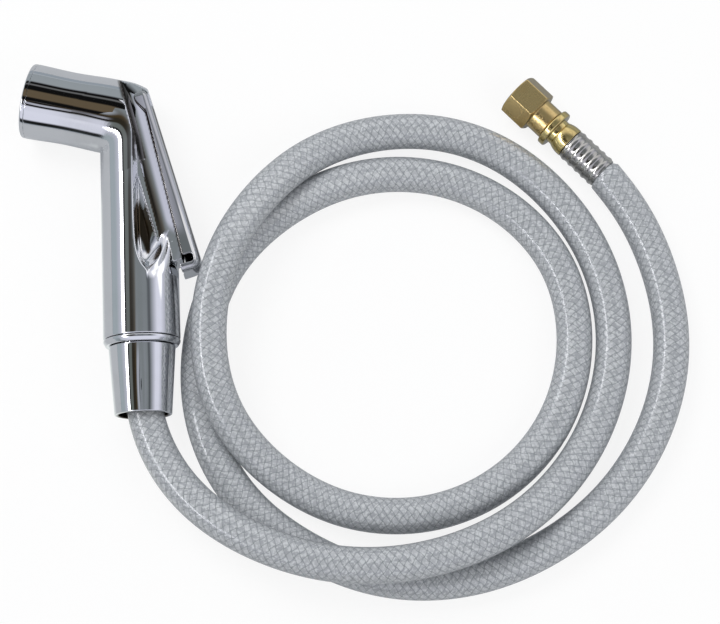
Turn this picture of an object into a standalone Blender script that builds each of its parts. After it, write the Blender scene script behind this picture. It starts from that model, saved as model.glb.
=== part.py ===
"""Handheld bath sprayer: chromed pistol handset with a long squeeze lever, clear braided hose, brass inlet.

The handset lies on its side, with its hose beside it. World frame: +Y up the handle towards the head,
-X the way the spray leaves, +Z up. The handset is drawn upright in a frame of its own, +Z up the handle,
-X the spray side, +X the lever side, Y across, and an empty lays it down.
"""

import math

import bmesh
import bpy
import numpy as np
from mathutils import Matrix, Vector

MM = 0.001

# Clearances
SEAT_GAP = 0.3 * MM  # between faces that rest on each other
RUN_GAP = 0.1 * MM  # round a shaft that turns or slides
SWING_GAP = 0.5 * MM  # round the lever, at rest and squeezed

# Handle, bend and head barrel
HANDLE_R = 16.0 * MM
HANDLE_TILT = math.radians(2.4)  # lean of the handle from +Y
HANDLE_POS = Vector((14.9, -43.9, 16.0)) * MM  # centre of the handle's lower end, in the world
BASE_EDGE = 0.5 * MM
ELBOW_Z = 94.7 * MM  # where the centre lines of handle and barrel meet
BEND_R = 9.0 * MM
HEAD_RISE = math.radians(13.7)  # of the barrel, above square to the handle
HEAD_LEN = 47.5 * MM  # elbow to spray face
HEAD_R = 16.0 * MM
HEAD_NECK_R = 15.5 * MM
SKIN_SIDES = 48
BEND_STEPS = 8

# Spigot under the handle
SPIGOT_R = 10.5 * MM
SPIGOT_LEN = 10.5 * MM
SPIGOT_EDGE = 0.6 * MM
SPIGOT_BORE_R = 4.6 * MM
SPIGOT_BORE_TOP = 14.0 * MM

# Lever: a channel hinged behind the bend. Its places are given as distance down its back from the
# top and as depth in from its back.
LEVER_TOP = Vector((4.95, 0.0, 107.75)) * MM
LEVER_SLOPE = math.radians(15.4)
LEVER_LEN = 81.8 * MM
LEVER_HALF = 9.2 * MM
LEVER_SIDE_T = 1.6 * MM
LEVER_WEB_T = 1.8 * MM
LEVER_END_T = 3.2 * MM
LEVER_SIDE_TOP = 3.4 * MM  # depth of the sides just below the ears
LEVER_SIDE_LOW = 7.0 * MM
LEVER_END_DEPTH = 9.0 * MM
LEVER_WINDOW = 3.6 * MM  # height of the window that each side has above the end wall
LEVER_WINDOW_DEPTH = 2.8 * MM  # where it starts
LEVER_TOE = 4.6 * MM
LEVER_EDGE_R = 2.0 * MM
LEVER_TRAVEL = math.radians(2.0)
EAR_R = 3.4 * MM
PIVOT_DROP = 4.0 * MM
WEB_START = 9.5 * MM
PIN_R = 1.25 * MM
PIN_SEAT = 1.0 * MM  # how far the pin enters each ear

# Tongue of the handle that the lever straddles, and the scoops beside it
TONGUE_HALF = 7.3 * MM
SCOOP_EDGE_X = -0.9 * MM  # where the round front stops
SCOOP_TOP = Vector((-6.2, 110.0)) * MM  # ends of the line where the scoop meets the tongue's side
SCOOP_LOW = Vector((9.2, 44.4)) * MM
SCOOP_APEX_Z = 87.0 * MM
SCOOP_SINK = 1.2 * MM  # of the scoop's floor below the tongue's side
SLOPE_RUN = 5.7 * MM  # from the scoop's floor across to the tongue's side
SHOULDER_TOP = 45.0 * MM  # the tongue's sides swell from here down to the round base
SHOULDER_LOW = 21.0 * MM
SHOULDER_RISE = 8.9 * MM
SCOOP_END = (  # height, front edge, back edge and floor of the scoop round its lower end
    (50.0 * MM, -0.9 * MM, 7.89 * MM, 6.1 * MM),
    (44.4 * MM, -0.8 * MM, 9.2 * MM, 5.8 * MM),
    (40.0 * MM, -0.6 * MM, 9.9 * MM, 5.5 * MM),
    (37.0 * MM, -0.3 * MM, 9.9 * MM, 5.5 * MM),
    (34.5 * MM, 0.1 * MM, 9.4 * MM, 6.1 * MM),
    (32.5 * MM, 0.7 * MM, 8.8 * MM, 7.1 * MM),
    (30.5 * MM, 1.5 * MM, 7.9 * MM, 8.7 * MM),
    (28.5 * MM, 2.6 * MM, 6.7 * MM, 11.0 * MM),
    (27.2 * MM, 3.6 * MM, 5.7 * MM, 13.2 * MM),
    (26.4 * MM, 4.6 * MM, 4.8 * MM, 15.2 * MM),
)
ARC_STEPS = 4

# Valve, across the tongue behind the lever. Depths are from the tongue's back face.
VALVE_DROP = 46.0 * MM  # below the pin
GLAND_BORE_R = 5.4 * MM
SEAT_SHELF = 13.2 * MM
CHAMBER_R = 4.4 * MM
CHAMBER_END = 22.5 * MM
GLAND_SINK = 0.6 * MM
GLAND_LEN = 4.5 * MM
CAGE_LEN = 5.8 * MM
CAGE_R = 4.0 * MM
CAGE_PORT_R = 1.7 * MM
SPANNER_HOLE_R = 0.6 * MM
SPANNER_HOLES = 3.8 * MM
SEAT_T = 1.7 * MM
SEAT_HOLE_R = 2.8 * MM
STEM_R = 2.3 * MM
STEM_NECK_R = 1.2 * MM
STEM_GROOVE = 1.7 * MM  # depth of the middle of the groove
STEM_RING_R = 0.4 * MM
STEM_RING_MAJOR = 1.9 * MM
WASHER_R = 3.6 * MM
WASHER_T = 0.9 * MM
POPPET_T = 1.6 * MM
TAIL_R = 1.6 * MM
TAIL_LEN = 2.0 * MM
SPRING_R = 2.3 * MM
SPRING_WIRE_R = 0.28 * MM
SPRING_TURNS = 4.5
SPRING_POINTS_PER_TURN = 10
FEED_R = 3.2 * MM
OUTLET_R = 3.0 * MM
OUTLET_TOP = Vector((-1.5, 0.0, 97.0)) * MM
BARREL_BORE_R = 4.2 * MM

# Spray head. Depths are from the spray face.
BEZEL_T = 1.5 * MM
BEZEL_EDGE = 0.5 * MM
BEZEL_R = HEAD_R - 0.1 * MM
LIP_R = 11.2 * MM
LIP_T = 1.2 * MM
SKIRT_R = HEAD_R - 2.1 * MM
SKIRT_T = 1.0 * MM
SPRAY_T = 1.6 * MM
SPRAY_BOSS_T = 0.8 * MM
NOZZLE_R = 0.55 * MM
NOZZLE_RINGS = ((0.0, 1), (3.1 * MM, 6), (6.1 * MM, 12), (9.0 * MM, 18))  # radius, holes
FACE_RING_R = 0.6 * MM
FLOW_T = 1.2 * MM
FLOW_HOLE_R = 1.2 * MM
FLOW_RINGS = ((3.6 * MM, 6), (8.0 * MM, 12))
HEAD_CHAMBER_R = 11.4 * MM
HEAD_CHAMBER_END = 14.0 * MM

# Collar, nut and the hose's tail under the handle
COLLAR_T = 2.6 * MM
COLLAR_LOW_R = HANDLE_R - 0.8 * MM
NUT_TOP_R = 13.9 * MM
NUT_LOW_R = 11.85 * MM
NUT_LEN = 28.4 * MM
NUT_EDGE = 0.4 * MM
NUT_WEB_R = SPIGOT_R - 1.7 * MM
NUT_WEB_T = 2.5 * MM
NUT_MOUTH_R = 10.3 * MM
HOSE_WASHER_T = 1.8 * MM
HOSE_WASHER_BORE_R = 4.6 * MM
TAIL_FLANGE_R = SPIGOT_R - 0.3 * MM
TAIL_FLANGE_T = 2.2 * MM

# Hose, and the barbs and ferrules at its ends
HOSE_R = 7.5 * MM
HOSE_SOCKET_R = 5.0 * MM
BARB_R = 4.7 * MM
BARB_ROOT_R = 4.2 * MM
BARB_BORE_R = 3.2 * MM
BARB_PITCH = 3.0 * MM
FERRULE_WALL = 0.45 * MM
FERRULE_RIB = 0.4 * MM
TAIL_BARB_LEN = 9.0 * MM
TAIL_CRIMP_R = 6.9 * MM
TAIL_FERRULE_LEN = 7.0 * MM
TAIL_FERRULE_RIBS = 2
INLET_BARB_LEN = 15.0 * MM
INLET_CRIMP_R = 6.1 * MM
INLET_FERRULE_LEN = 18.7 * MM
INLET_FERRULE_RIBS = 5
HOSE_POINT_STEP = 20.0 * MM
HOSE_LIE_Z = 7.7 * MM  # centre of the hose where it lies on the table

# Inlet fitting. Depths are from its open end.
INLET_POS = Vector((172.9, 65.9, 8.8)) * MM
INLET_TURN = math.radians(135.0)  # from +X to the way it opens
HEX_FLATS = 17.5 * MM
HEX_LEN = 12.9 * MM
HEX_CHAMFER = 0.8 * MM
NECK_R = 7.1 * MM
NECK_LEN = 7.6 * MM
THREAD_BORE_R = 6.9 * MM
THREAD_BORE_LEN = 11.5 * MM
SHANK_R = 4.7 * MM
STEM_HEAD_T = 1.8 * MM
INLET_WASHER_T = 1.6 * MM
INLET_WASHER_BORE_R = 4.3 * MM
FLANGE_R = 8.7 * MM
FLANGE_T = 3.0 * MM
GROOVE_R = 5.9 * MM
GROOVE_LEN = 2.0 * MM
OGIVE_R = 7.0 * MM
OGIVE_LEN = 6.1 * MM

# The hose's way from the nut to the inlet, in mm. It crosses its own last loop, goes twice round and
# ends at the inlet; z is the height of its centre, which lies 7.7 mm over the table.
ROUTE = (
    (18.0, -78.0, 16.2),
    (35.0, -108.0, 19.9),
    (62.5, -127.5, 23.0),
    (95.0, -137.0, 23.1),
    (129.0, -136.0, 23.1),
    (161.5, -124.5, 21.3),
    (187.5, -103.5, 13.2),
    (205.0, -75.5, 7.9),
    (212.0, -42.0, 7.7),
    (205.5, -7.5, 7.7),
    (187.5, 21.0, 7.7),
    (160.5, 41.5, 7.7),
    (127.5, 49.0, 7.7),
    (95.0, 42.0, 11.4),
    (68.5, 21.5, 20.8),
    (50.0, -6.5, 23.4),
    (43.0, -40.0, 23.0),
    (49.3, -72.5, 20.2),
    (70.0, -98.0, 11.2),
    (100.0, -113.5, 7.7),
    (134.0, -115.0, 7.7),
    (164.5, -102.0, 7.7),
    (186.5, -77.0, 7.7),
    (195.5, -43.5, 7.7),
    (189.0, -10.5, 7.7),
    (167.5, 15.0, 7.7),
    (136.5, 28.5, 7.7),
    (102.5, 27.5, 7.7),
    (72.0, 13.0, 7.7),
    (48.5, -12.5, 7.7),
    (38.5, -45.0, 7.7),
    (41.0, -79.0, 7.7),
    (57.0, -109.0, 7.7),
    (83.5, -130.0, 7.7),
    (116.0, -142.0, 7.7),
    (150.0, -141.5, 7.7),
    (182.0, -129.5, 7.7),
    (208.5, -109.0, 7.7),
    (228.0, -79.5, 7.7),
    (236.0, -46.5, 7.7),
    (232.0, -13.0, 7.7),
    (218.0, 18.0, 8.3),
)

PARTS_NAME = "bath_sprayer"
CUTTERS_NAME = "bath_sprayer_cutters"


def clear_scene():
    for obj in list(bpy.data.objects):
        bpy.data.objects.remove(obj, do_unlink=True)


def new_collection(name):
    collection = bpy.data.collections.new(name)
    bpy.context.scene.collection.children.link(collection)
    return collection


def new_material(name, colour, metallic, roughness, transmission=0.0):
    material = bpy.data.materials.new(name)
    material.use_nodes = True
    shader = material.node_tree.nodes["Principled BSDF"]
    shader.inputs["Base Color"].default_value = (*colour, 1.0)
    shader.inputs["Metallic"].default_value = metallic
    shader.inputs["Roughness"].default_value = roughness
    shader.inputs["Transmission Weight"].default_value = transmission
    return material


clear_scene()
PARTS = new_collection(PARTS_NAME)
CUTTERS = new_collection(CUTTERS_NAME)

CHROME = ((0.78, 0.79, 0.80), 1.0, 0.08)
BRASS = ((0.55, 0.42, 0.16), 1.0, 0.28)
STEEL = ((0.62, 0.61, 0.58), 1.0, 0.25)
RUBBER = ((0.03, 0.03, 0.03), 0.0, 0.6)
WHITE_PLASTIC = ((0.75, 0.75, 0.73), 0.0, 0.4)
CLEAR_VINYL = ((0.62, 0.66, 0.70), 0.0, 0.25, 0.4)


# Building tools


def add_object(name, data, looks, parent=None, location=(0.0, 0.0, 0.0)):
    """A part of the sprayer, or a cutter where looks is None."""
    obj = bpy.data.objects.new(name, data)
    obj.parent = parent
    obj.location = location
    if looks is None:
        CUTTERS.objects.link(obj)
        obj.hide_render = True
        obj.display_type = "WIRE"
    else:
        PARTS.objects.link(obj)
        data.materials.append(new_material(name, *looks))
    return obj


def add_frame(name, parent, location, z_way, x_way):
    """An empty whose +Z and +X point the ways given in its parent's frame."""
    z_axis = Vector(z_way).normalized()
    y_axis = z_axis.cross(Vector(x_way)).normalized()
    x_axis = y_axis.cross(z_axis)
    empty = bpy.data.objects.new(name, None)
    empty.parent = parent
    empty.location = location
    empty.rotation_euler = Matrix((x_axis, y_axis, z_axis)).transposed().to_euler()
    empty.empty_display_size = 0.01
    PARTS.objects.link(empty)
    return empty


def mesh_from(name, bm):
    bmesh.ops.remove_doubles(bm, verts=bm.verts, dist=1e-7)
    bmesh.ops.recalc_face_normals(bm, faces=bm.faces)
    mesh = bpy.data.meshes.new(name)
    bm.to_mesh(mesh)
    bm.free()
    return mesh


def turned(name, outline, looks, parent=None, steps=32, closed=True):
    """A piece turned about Z. The outline runs down the outer side first; it closes on itself, or
    with closed off starts and ends on the axis."""
    mesh = bpy.data.meshes.new(name)
    count = len(outline)
    edges = [(i, i + 1) for i in range(count - 1)]
    if closed:
        edges.append((count - 1, 0))
    mesh.from_pydata([(r, 0.0, z) for r, z in outline], edges, [])
    obj = add_object(name, mesh, looks, parent)
    screw = obj.modifiers.new("Turn", "SCREW")
    screw.axis = "Z"
    screw.angle = math.tau
    screw.steps = steps
    screw.render_steps = steps
    screw.use_merge_vertices = True
    screw.merge_threshold = 1e-6
    screw.use_smooth_shade = False
    return obj


def rod(name, start, end, radius, looks, parent=None, sides=32):
    """A plain cylinder between two points."""
    start = Vector(start)
    way = Vector(end) - start
    bm = bmesh.new()
    bmesh.ops.create_cone(
        bm, cap_ends=True, segments=sides, radius1=radius, radius2=radius, depth=way.length
    )
    turn = way.to_track_quat("Z", "Y").to_matrix().to_4x4()
    bm.transform(Matrix.Translation(start + way / 2) @ turn)
    return add_object(name, mesh_from(name, bm), looks, parent)


def o_ring(name, major, minor, height, looks, parent):
    """A torus about Z."""
    outline = []
    for i in range(8):
        angle = math.radians(90) - math.tau * i / 8
        outline.append((major + minor * math.cos(angle), height + minor * math.sin(angle)))
    return turned(name, outline, looks, parent, steps=32)


def loft(name, rings, looks, parent=None, location=(0.0, 0.0, 0.0)):
    """A skin over rings of points, with both ends closed."""
    bm = bmesh.new()
    loops = [[bm.verts.new(point) for point in ring] for ring in rings]
    sides = len(loops[0])
    for low, high in zip(loops, loops[1:]):
        for i in range(sides):
            j = (i + 1) % sides
            bm.faces.new((low[i], low[j], high[j], high[i]))
    bm.faces.new(loops[0])
    bm.faces.new(loops[-1])
    bmesh.ops.remove_doubles(bm, verts=bm.verts, dist=1e-7)
    bmesh.ops.dissolve_degenerate(bm, edges=bm.edges, dist=1e-7)
    return add_object(name, mesh_from(name, bm), looks, parent, location)


def prism(name, outline, half, looks, parent=None, location=(0.0, 0.0, 0.0), near=None):
    """An outline in XZ drawn out along Y from -half, or from near, to +half."""
    near = -half if near is None else near
    rings = [[(x, y, z) for x, z in outline] for y in (near, half)]
    return loft(name, rings, looks, parent, location)


def boolean(target, cutter, operation="DIFFERENCE"):
    modifier = target.modifiers.new(cutter.name, "BOOLEAN")
    modifier.object = cutter
    modifier.operation = operation
    modifier.solver = "EXACT"
    return target


def mirror_y(obj):
    modifier = obj.modifiers.new("Both sides", "MIRROR")
    modifier.use_axis = (False, True, False)
    modifier.use_mirror_merge = False
    return obj


def hole_cutter(name, rings, radius, top, bottom, parent, sides=8):
    """Straight holes along Z on circles of the given radius and count."""
    bm = bmesh.new()
    for ring_radius, count in rings:
        for i in range(count):
            angle = math.tau * i / count
            x = ring_radius * math.cos(angle)
            y = ring_radius * math.sin(angle)
            bmesh.ops.create_cone(
                bm,
                cap_ends=True,
                segments=sides,
                radius1=radius,
                radius2=radius,
                depth=top - bottom,
                matrix=Matrix.Translation((x, y, (top + bottom) / 2)),
            )
    return add_object(name, mesh_from(name, bm), None, parent)


# Places in the handset's frame


def lerp(a, b, share):
    return a + (b - a) * share


DOWN_LEVER = Vector((math.sin(LEVER_SLOPE), 0.0, -math.cos(LEVER_SLOPE)))
INTO_LEVER = Vector((-math.cos(LEVER_SLOPE), 0.0, -math.sin(LEVER_SLOPE)))


def lever_place(along, depth):
    """A point of the lever's middle plane, in the handset's frame."""
    return LEVER_TOP + DOWN_LEVER * along + INTO_LEVER * depth


PIVOT = lever_place(PIVOT_DROP, EAR_R)
LEVER_SQUEEZE = math.tan(LEVER_TRAVEL)


def tongue_depth(along):
    """How deep the tongue's back face lies under the lever's back."""
    return LEVER_WEB_T + LEVER_SQUEEZE * (along - PIVOT_DROP) + SWING_GAP


VALVE_ALONG = PIVOT_DROP + VALVE_DROP
VALVE_STROKE = VALVE_DROP * LEVER_SQUEEZE
HEAD_TURN = math.radians(90.0) - HEAD_RISE
HEAD_WAY = Vector((-math.sin(HEAD_TURN), 0.0, math.cos(HEAD_TURN)))
ELBOW = Vector((0.0, 0.0, ELBOW_Z))
FACE_CENTRE = ELBOW + HEAD_WAY * HEAD_LEN

HANDSET = add_frame(
    "handset_frame",
    None,
    HANDLE_POS,
    (-math.sin(HANDLE_TILT), math.cos(HANDLE_TILT), 0.0),
    (math.cos(HANDLE_TILT), math.sin(HANDLE_TILT), 0.0),
)
HEAD = add_frame("head_frame", HANDSET, FACE_CENTRE, HEAD_WAY, (0.0, 1.0, 0.0))
VALVE = add_frame(
    "valve_frame",
    HANDSET,
    lever_place(VALVE_ALONG, tongue_depth(VALVE_ALONG)),
    -INTO_LEVER,
    (0.0, 1.0, 0.0),
)
INLET_WAY = Vector((math.cos(INLET_TURN), math.sin(INLET_TURN), 0.0))
INLET = add_frame("inlet_frame", None, INLET_POS, INLET_WAY, (0.0, 0.0, 1.0))


# Handle body


def skin_rings():
    """Rings from the spigot up the handle, round the bend and out to the end of the barrel. Inside
    the bend the two tubes meet in a mitre, so there the rings share their points."""
    rings = []
    for height, radius in (
        (-SPIGOT_LEN, SPIGOT_R - SPIGOT_EDGE),
        (-SPIGOT_LEN + SPIGOT_EDGE, SPIGOT_R),
        (0.0, SPIGOT_R),
        (0.0, HANDLE_R - BASE_EDGE),
        (BASE_EDGE, HANDLE_R),
    ):
        rings.append(ring_at(Vector((0.0, 0.0, height)), radius, 0.0))
    half_turn = math.tan(HEAD_TURN / 2)
    centre = Vector((-BEND_R, 0.0, ELBOW_Z - BEND_R * half_turn))
    mitre_r = (HANDLE_R + HEAD_NECK_R) / 2
    for step in range(BEND_STEPS + 1):
        share = step / BEND_STEPS
        radius = lerp(HANDLE_R, HEAD_NECK_R, share)
        turn = HEAD_TURN * share
        ring = []
        for i in range(SKIN_SIDES):
            angle = math.tau * i / SKIN_SIDES
            inner = BEND_R + mitre_r * math.cos(angle)
            if inner < 0.0:
                point = (inner, mitre_r * math.sin(angle), inner * half_turn)
            else:
                reach = BEND_R + radius * math.cos(angle)
                point = (
                    reach * math.cos(turn),
                    radius * math.sin(angle),
                    reach * math.sin(turn),
                )
            ring.append(centre + Vector(point))
        rings.append(ring)
    barrel_end = ELBOW + HEAD_WAY * (HEAD_LEN - BEZEL_T - SEAT_GAP)
    rings.append(ring_at(barrel_end, HEAD_R, HEAD_TURN))
    return rings


def ring_at(centre, radius, turn):
    out = Vector((math.cos(turn), 0.0, math.sin(turn)))
    across = Vector((0.0, 1.0, 0.0))
    ring = []
    for i in range(SKIN_SIDES):
        angle = math.tau * i / SKIN_SIDES
        ring.append(centre + radius * (math.cos(angle) * out + math.sin(angle) * across))
    return ring


def scoop_line_x(height):
    share = (SCOOP_TOP.y - height) / (SCOOP_TOP.y - SCOOP_LOW.y)
    return lerp(SCOOP_TOP.x, SCOOP_LOW.x, share)


def strip_y(height):
    """How far out the tongue's side stands: flat above the shoulder, out to the round base below."""
    share = min(max((SHOULDER_TOP - height) / (SHOULDER_TOP - SHOULDER_LOW), 0.0), 1.0)
    return TONGUE_HALF + SHOULDER_RISE * share**2 * (3.0 - 2.0 * share)


def scoop_section(height, front_x, back_x, floor_y):
    """Outline of a scoop's cutter at one height: round front wall, floor, slope up to the tongue's
    side, and outside."""
    outside = HANDLE_R + 3 * MM
    width = back_x - front_x
    slope_run = min(SLOPE_RUN, 0.8 * width)
    foot_x = front_x + min(1.4 * MM, 0.2 * width)
    side_y = strip_y(height)
    rim_y = max(math.sqrt(HANDLE_R**2 - front_x**2), side_y + 0.1 * MM)
    section = [(front_x, outside, height)]
    for i in range(ARC_STEPS + 1):
        angle = math.radians(90.0) * i / ARC_STEPS
        x = foot_x - (foot_x - front_x) * math.cos(angle)
        y = rim_y - (rim_y - floor_y) * math.sin(angle)
        section.append((x, y, height))
    for i in range(ARC_STEPS + 1):
        share = i / ARC_STEPS
        x = lerp(back_x - slope_run, back_x, share)
        section.append((x + 0.01 * MM, lerp(floor_y, side_y, share**1.5), height))
    section.append((outside + LEVER_HALF, side_y, height))
    section.append((outside + LEVER_HALF, outside, height))
    return section


def scoop_cutter():
    """Flat side of the tongue, the scoop beside it and the round shoulder below it."""
    sections = []
    for height in (SCOOP_TOP.y + 8 * MM, SCOOP_APEX_Z):
        line_x = scoop_line_x(height)
        sections.append(scoop_section(height, line_x - 0.05 * MM, line_x, TONGUE_HALF))
    apex_x = scoop_line_x(SCOOP_APEX_Z)
    for share in (0.1, 0.25, 0.45, 0.65, 0.8, 0.92):
        height = lerp(SCOOP_APEX_Z, SCOOP_END[0][0], share)
        line_x = scoop_line_x(height)
        front_x = max(SCOOP_EDGE_X, apex_x - 0.05 * MM)
        run = min(0.8 * (line_x - front_x) / SLOPE_RUN, 1.0)
        sink = SCOOP_SINK * (1.0 - (1.0 - run) ** 1.5)
        sections.append(scoop_section(height, front_x, line_x, TONGUE_HALF - sink))
    for row in SCOOP_END:
        sections.append(scoop_section(*row))
    front_x, back_x = SCOOP_END[-1][1:3]
    for height in (24.0 * MM, SHOULDER_LOW):
        sections.append(scoop_section(height, front_x, back_x, strip_y(height)))
    return mirror_y(loft("scoop_cutter", sections, None, HANDSET))


def lever_outline(places):
    """Lever places turned into XZ points of the handset's frame."""
    points = [lever_place(along, depth) for along, depth in places]
    return [(point.x, point.z) for point in points]


def back_cutter():
    """Room for the lever's web behind the tongue."""
    far = -14 * MM
    start = WEB_START - SWING_GAP
    low = LEVER_LEN + 5 * MM
    places = (
        (-0.6 * MM, far),
        (-0.6 * MM, 0.0),
        (start, 0.0),
        (start, tongue_depth(start)),
        (low, tongue_depth(low)),
        (low, far),
    )
    return prism("back_cutter", lever_outline(places), HANDLE_R + 4 * MM, None, HANDSET)


def lever_slot_cutter():
    """Slots beside the tongue's foot for the lever's sides."""
    top = 52.0 * MM
    low = LEVER_LEN + SWING_GAP
    places = []
    for along in (top, low):
        side = lever_side_depth(along)
        swing = LEVER_SQUEEZE * (along - PIVOT_DROP)
        places.append((along, side + swing + SWING_GAP))
    places += [(low, -14 * MM), (top, -14 * MM)]
    cutter = prism(
        "lever_slot_cutter",
        lever_outline(places),
        LEVER_HALF + SWING_GAP,
        None,
        HANDSET,
        near=TONGUE_HALF - 0.01 * MM,
    )
    return mirror_y(cutter)


def tongue_block():
    """Lower end of the tongue, which stands out behind the round skin."""
    end = LEVER_LEN - LEVER_END_T - LEVER_WINDOW / 2 - SWING_GAP
    deep = 15 * MM
    places = ((30 * MM, 0.5 * MM), (end, 0.5 * MM), (end, deep), (30 * MM, deep))
    return prism("tongue_block", lever_outline(places), TONGUE_HALF + 0.4 * MM, None, HANDSET)


def tongue_trim():
    """Takes the block's sides down to the tongue's, beyond the round skin."""
    places = ((25 * MM, 0.0), (LEVER_LEN, 0.0), (LEVER_LEN, 7.5 * MM), (25 * MM, 7.5 * MM))
    outline = [(max(x, math.sqrt(HANDLE_R**2 - TONGUE_HALF**2)), z) for x, z in lever_outline(places)]
    return mirror_y(
        prism("tongue_trim", outline, HANDLE_R, None, HANDSET, near=TONGUE_HALF)
    )


def head_bore():
    ledge = BEZEL_T + SEAT_GAP + SPRAY_T + 2 * FACE_RING_R + FLOW_T + 3 * SEAT_GAP
    bore_r = SKIRT_R + SEAT_GAP
    outline = (
        (0.0, 5 * MM),
        (bore_r, 5 * MM),
        (bore_r, -ledge),
        (HEAD_CHAMBER_R, -ledge),
        (HEAD_CHAMBER_R, -HEAD_CHAMBER_END),
        (0.0, -HEAD_CHAMBER_END),
    )
    return turned("head_bore", outline, None, HEAD, closed=False)


def valve_bore():
    outline = (
        (0.0, 6 * MM),
        (GLAND_BORE_R, 6 * MM),
        (GLAND_BORE_R, -SEAT_SHELF),
        (CHAMBER_R, -SEAT_SHELF),
        (CHAMBER_R, -CHAMBER_END),
        (0.0, -CHAMBER_END),
    )
    return turned("valve_bore", outline, None, VALVE, steps=32, closed=False)


def valve_place(depth):
    """A point of the valve's axis in the handset's frame."""
    return lever_place(VALVE_ALONG, tongue_depth(VALVE_ALONG) + depth)


def make_body():
    body = loft("handle_body", skin_rings(), CHROME, HANDSET)
    across = Vector((0.0, HANDLE_R + 4 * MM, 0.0))
    port_depth = GLAND_SINK + GLAND_LEN + CAGE_LEN / 2
    boolean(body, tongue_block(), "UNION")
    cutters = (
        scoop_cutter(),
        tongue_trim(),
        back_cutter(),
        lever_slot_cutter(),
        head_bore(),
        rod(
            "spigot_bore",
            (0.0, 0.0, -SPIGOT_LEN - 3 * MM),
            (0.0, 0.0, SPIGOT_BORE_TOP),
            SPIGOT_BORE_R,
            None,
            HANDSET,
        ),
        rod(
            "feed_bore",
            (0.0, 0.0, SPIGOT_BORE_TOP - 4 * MM),
            valve_place((SEAT_SHELF + CHAMBER_END) / 2 + 1 * MM),
            FEED_R,
            None,
            HANDSET,
            sides=24,
        ),
        rod(
            "outlet_bore", valve_place(port_depth), OUTLET_TOP, OUTLET_R, None, HANDSET, sides=24
        ),
        rod(
            "barrel_bore",
            OUTLET_TOP - HEAD_WAY * 2 * MM + Vector((0.0, 0.0, 0.4)) * MM,
            FACE_CENTRE - HEAD_WAY * (HEAD_CHAMBER_END - 2 * MM),
            BARREL_BORE_R,
            None,
            HANDSET,
            sides=24,
        ),
        valve_bore(),
        rod("pin_bore", PIVOT - across, PIVOT + across, PIN_R + RUN_GAP, None, HANDSET, 24),
    )
    for cutter in cutters:
        boolean(body, cutter)
    return body


# Lever


def lever_side_depth(along):
    """Depth of the lever's sides, which grow towards its end."""
    share = (along - WEB_START) / (LEVER_LEN - LEVER_END_T - WEB_START)
    return lerp(LEVER_SIDE_TOP, LEVER_SIDE_LOW, share)


def lever_stations():
    """Distance down the lever with the depth of its back and front there."""
    stations = []
    for degrees in (6, 25, 45, 68, 90):
        angle = math.radians(degrees)
        along = PIVOT_DROP - EAR_R * math.cos(angle)
        reach = EAR_R * math.sin(angle)
        stations.append((along, EAR_R - reach, EAR_R + reach))
    stations.append((PIVOT_DROP + 1.6 * MM, 0.0, 2 * EAR_R - 0.4 * MM))
    stations.append((WEB_START + 1.5 * MM, 0.0, lever_side_depth(WEB_START + 1.5 * MM)))
    end_inner = LEVER_LEN - LEVER_END_T
    low_side = end_inner - LEVER_WINDOW / 2
    stations.append((low_side, 0.0, lever_side_depth(low_side)))
    stations.append((end_inner - 0.5 * MM, 0.0, LEVER_END_DEPTH))
    for degrees in (25, 50, 72, 90):
        angle = math.radians(degrees)
        along = LEVER_LEN - LEVER_TOE + LEVER_TOE * math.sin(angle)
        back = LEVER_TOE * (1.0 - math.cos(angle))
        stations.append((along, back, LEVER_END_DEPTH))
    return stations


def lever_section(along, back, front):
    """One section across the lever: square at its front, with round back edges."""
    edge_r = min(LEVER_EDGE_R, (front - back) / 2)
    section = [(front, LEVER_HALF), (front, -LEVER_HALF)]
    for i in range(5):
        angle = math.radians(90.0) * i / 4
        depth = back + edge_r * (1.0 - math.sin(angle))
        side = LEVER_HALF - edge_r * (1.0 - math.cos(angle))
        section.append((depth, -side))
    for depth, side in section[:1:-1]:
        section.append((depth, -side))
    ring = []
    for depth, side in section:
        point = lever_place(along, depth) - PIVOT
        ring.append((point.x, side, point.z))
    return ring


def make_lever():
    rings = [lever_section(*station) for station in lever_stations()]
    lever = loft("lever", rings, CHROME, HANDSET, PIVOT)
    far = 30 * MM
    end_inner = LEVER_LEN - LEVER_END_T
    places = (
        (-far, -far),
        (WEB_START, -far),
        (WEB_START, LEVER_WEB_T),
        (end_inner - LEVER_WINDOW / 2, LEVER_WEB_T),
        (end_inner - LEVER_WINDOW / 2, far),
        (-far, far),
    )
    channel = prism(
        "lever_channel", lever_outline(places), LEVER_HALF - LEVER_SIDE_T, None, HANDSET
    )
    seat = Vector((0.0, LEVER_HALF - LEVER_SIDE_T + PIN_SEAT + SEAT_GAP / 2, 0.0))
    pin_seat = rod(
        "lever_pin_seat", PIVOT - seat, PIVOT + seat, PIN_R + RUN_GAP, None, HANDSET, sides=24
    )
    window_top = end_inner - LEVER_WINDOW
    places = (
        (window_top, LEVER_WINDOW_DEPTH),
        (end_inner, LEVER_WINDOW_DEPTH),
        (end_inner, far),
        (window_top, far),
    )
    windows = prism("lever_windows", lever_outline(places), LEVER_HALF + 3 * MM, None, HANDSET)
    end_shift = LEVER_SQUEEZE * (LEVER_LEN - PIVOT_DROP)
    end_hollow = rod(
        "lever_end_hollow",
        Vector((end_shift, 0.0, 10 * MM)),
        Vector((end_shift, 0.0, lever_place(end_inner, LEVER_WINDOW_DEPTH).z)),
        HANDLE_R + SWING_GAP,
        None,
        HANDSET,
        sides=48,
    )
    boolean(lever, channel)
    boolean(lever, windows)
    boolean(lever, end_hollow)
    boolean(lever, pin_seat)
    reach = Vector((0.0, LEVER_HALF - LEVER_SIDE_T + PIN_SEAT - SEAT_GAP / 2, 0.0))
    rod("lever_pin", PIVOT - reach, PIVOT + reach, PIN_R, STEEL, HANDSET, sides=24)
    return lever


# Valve


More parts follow.
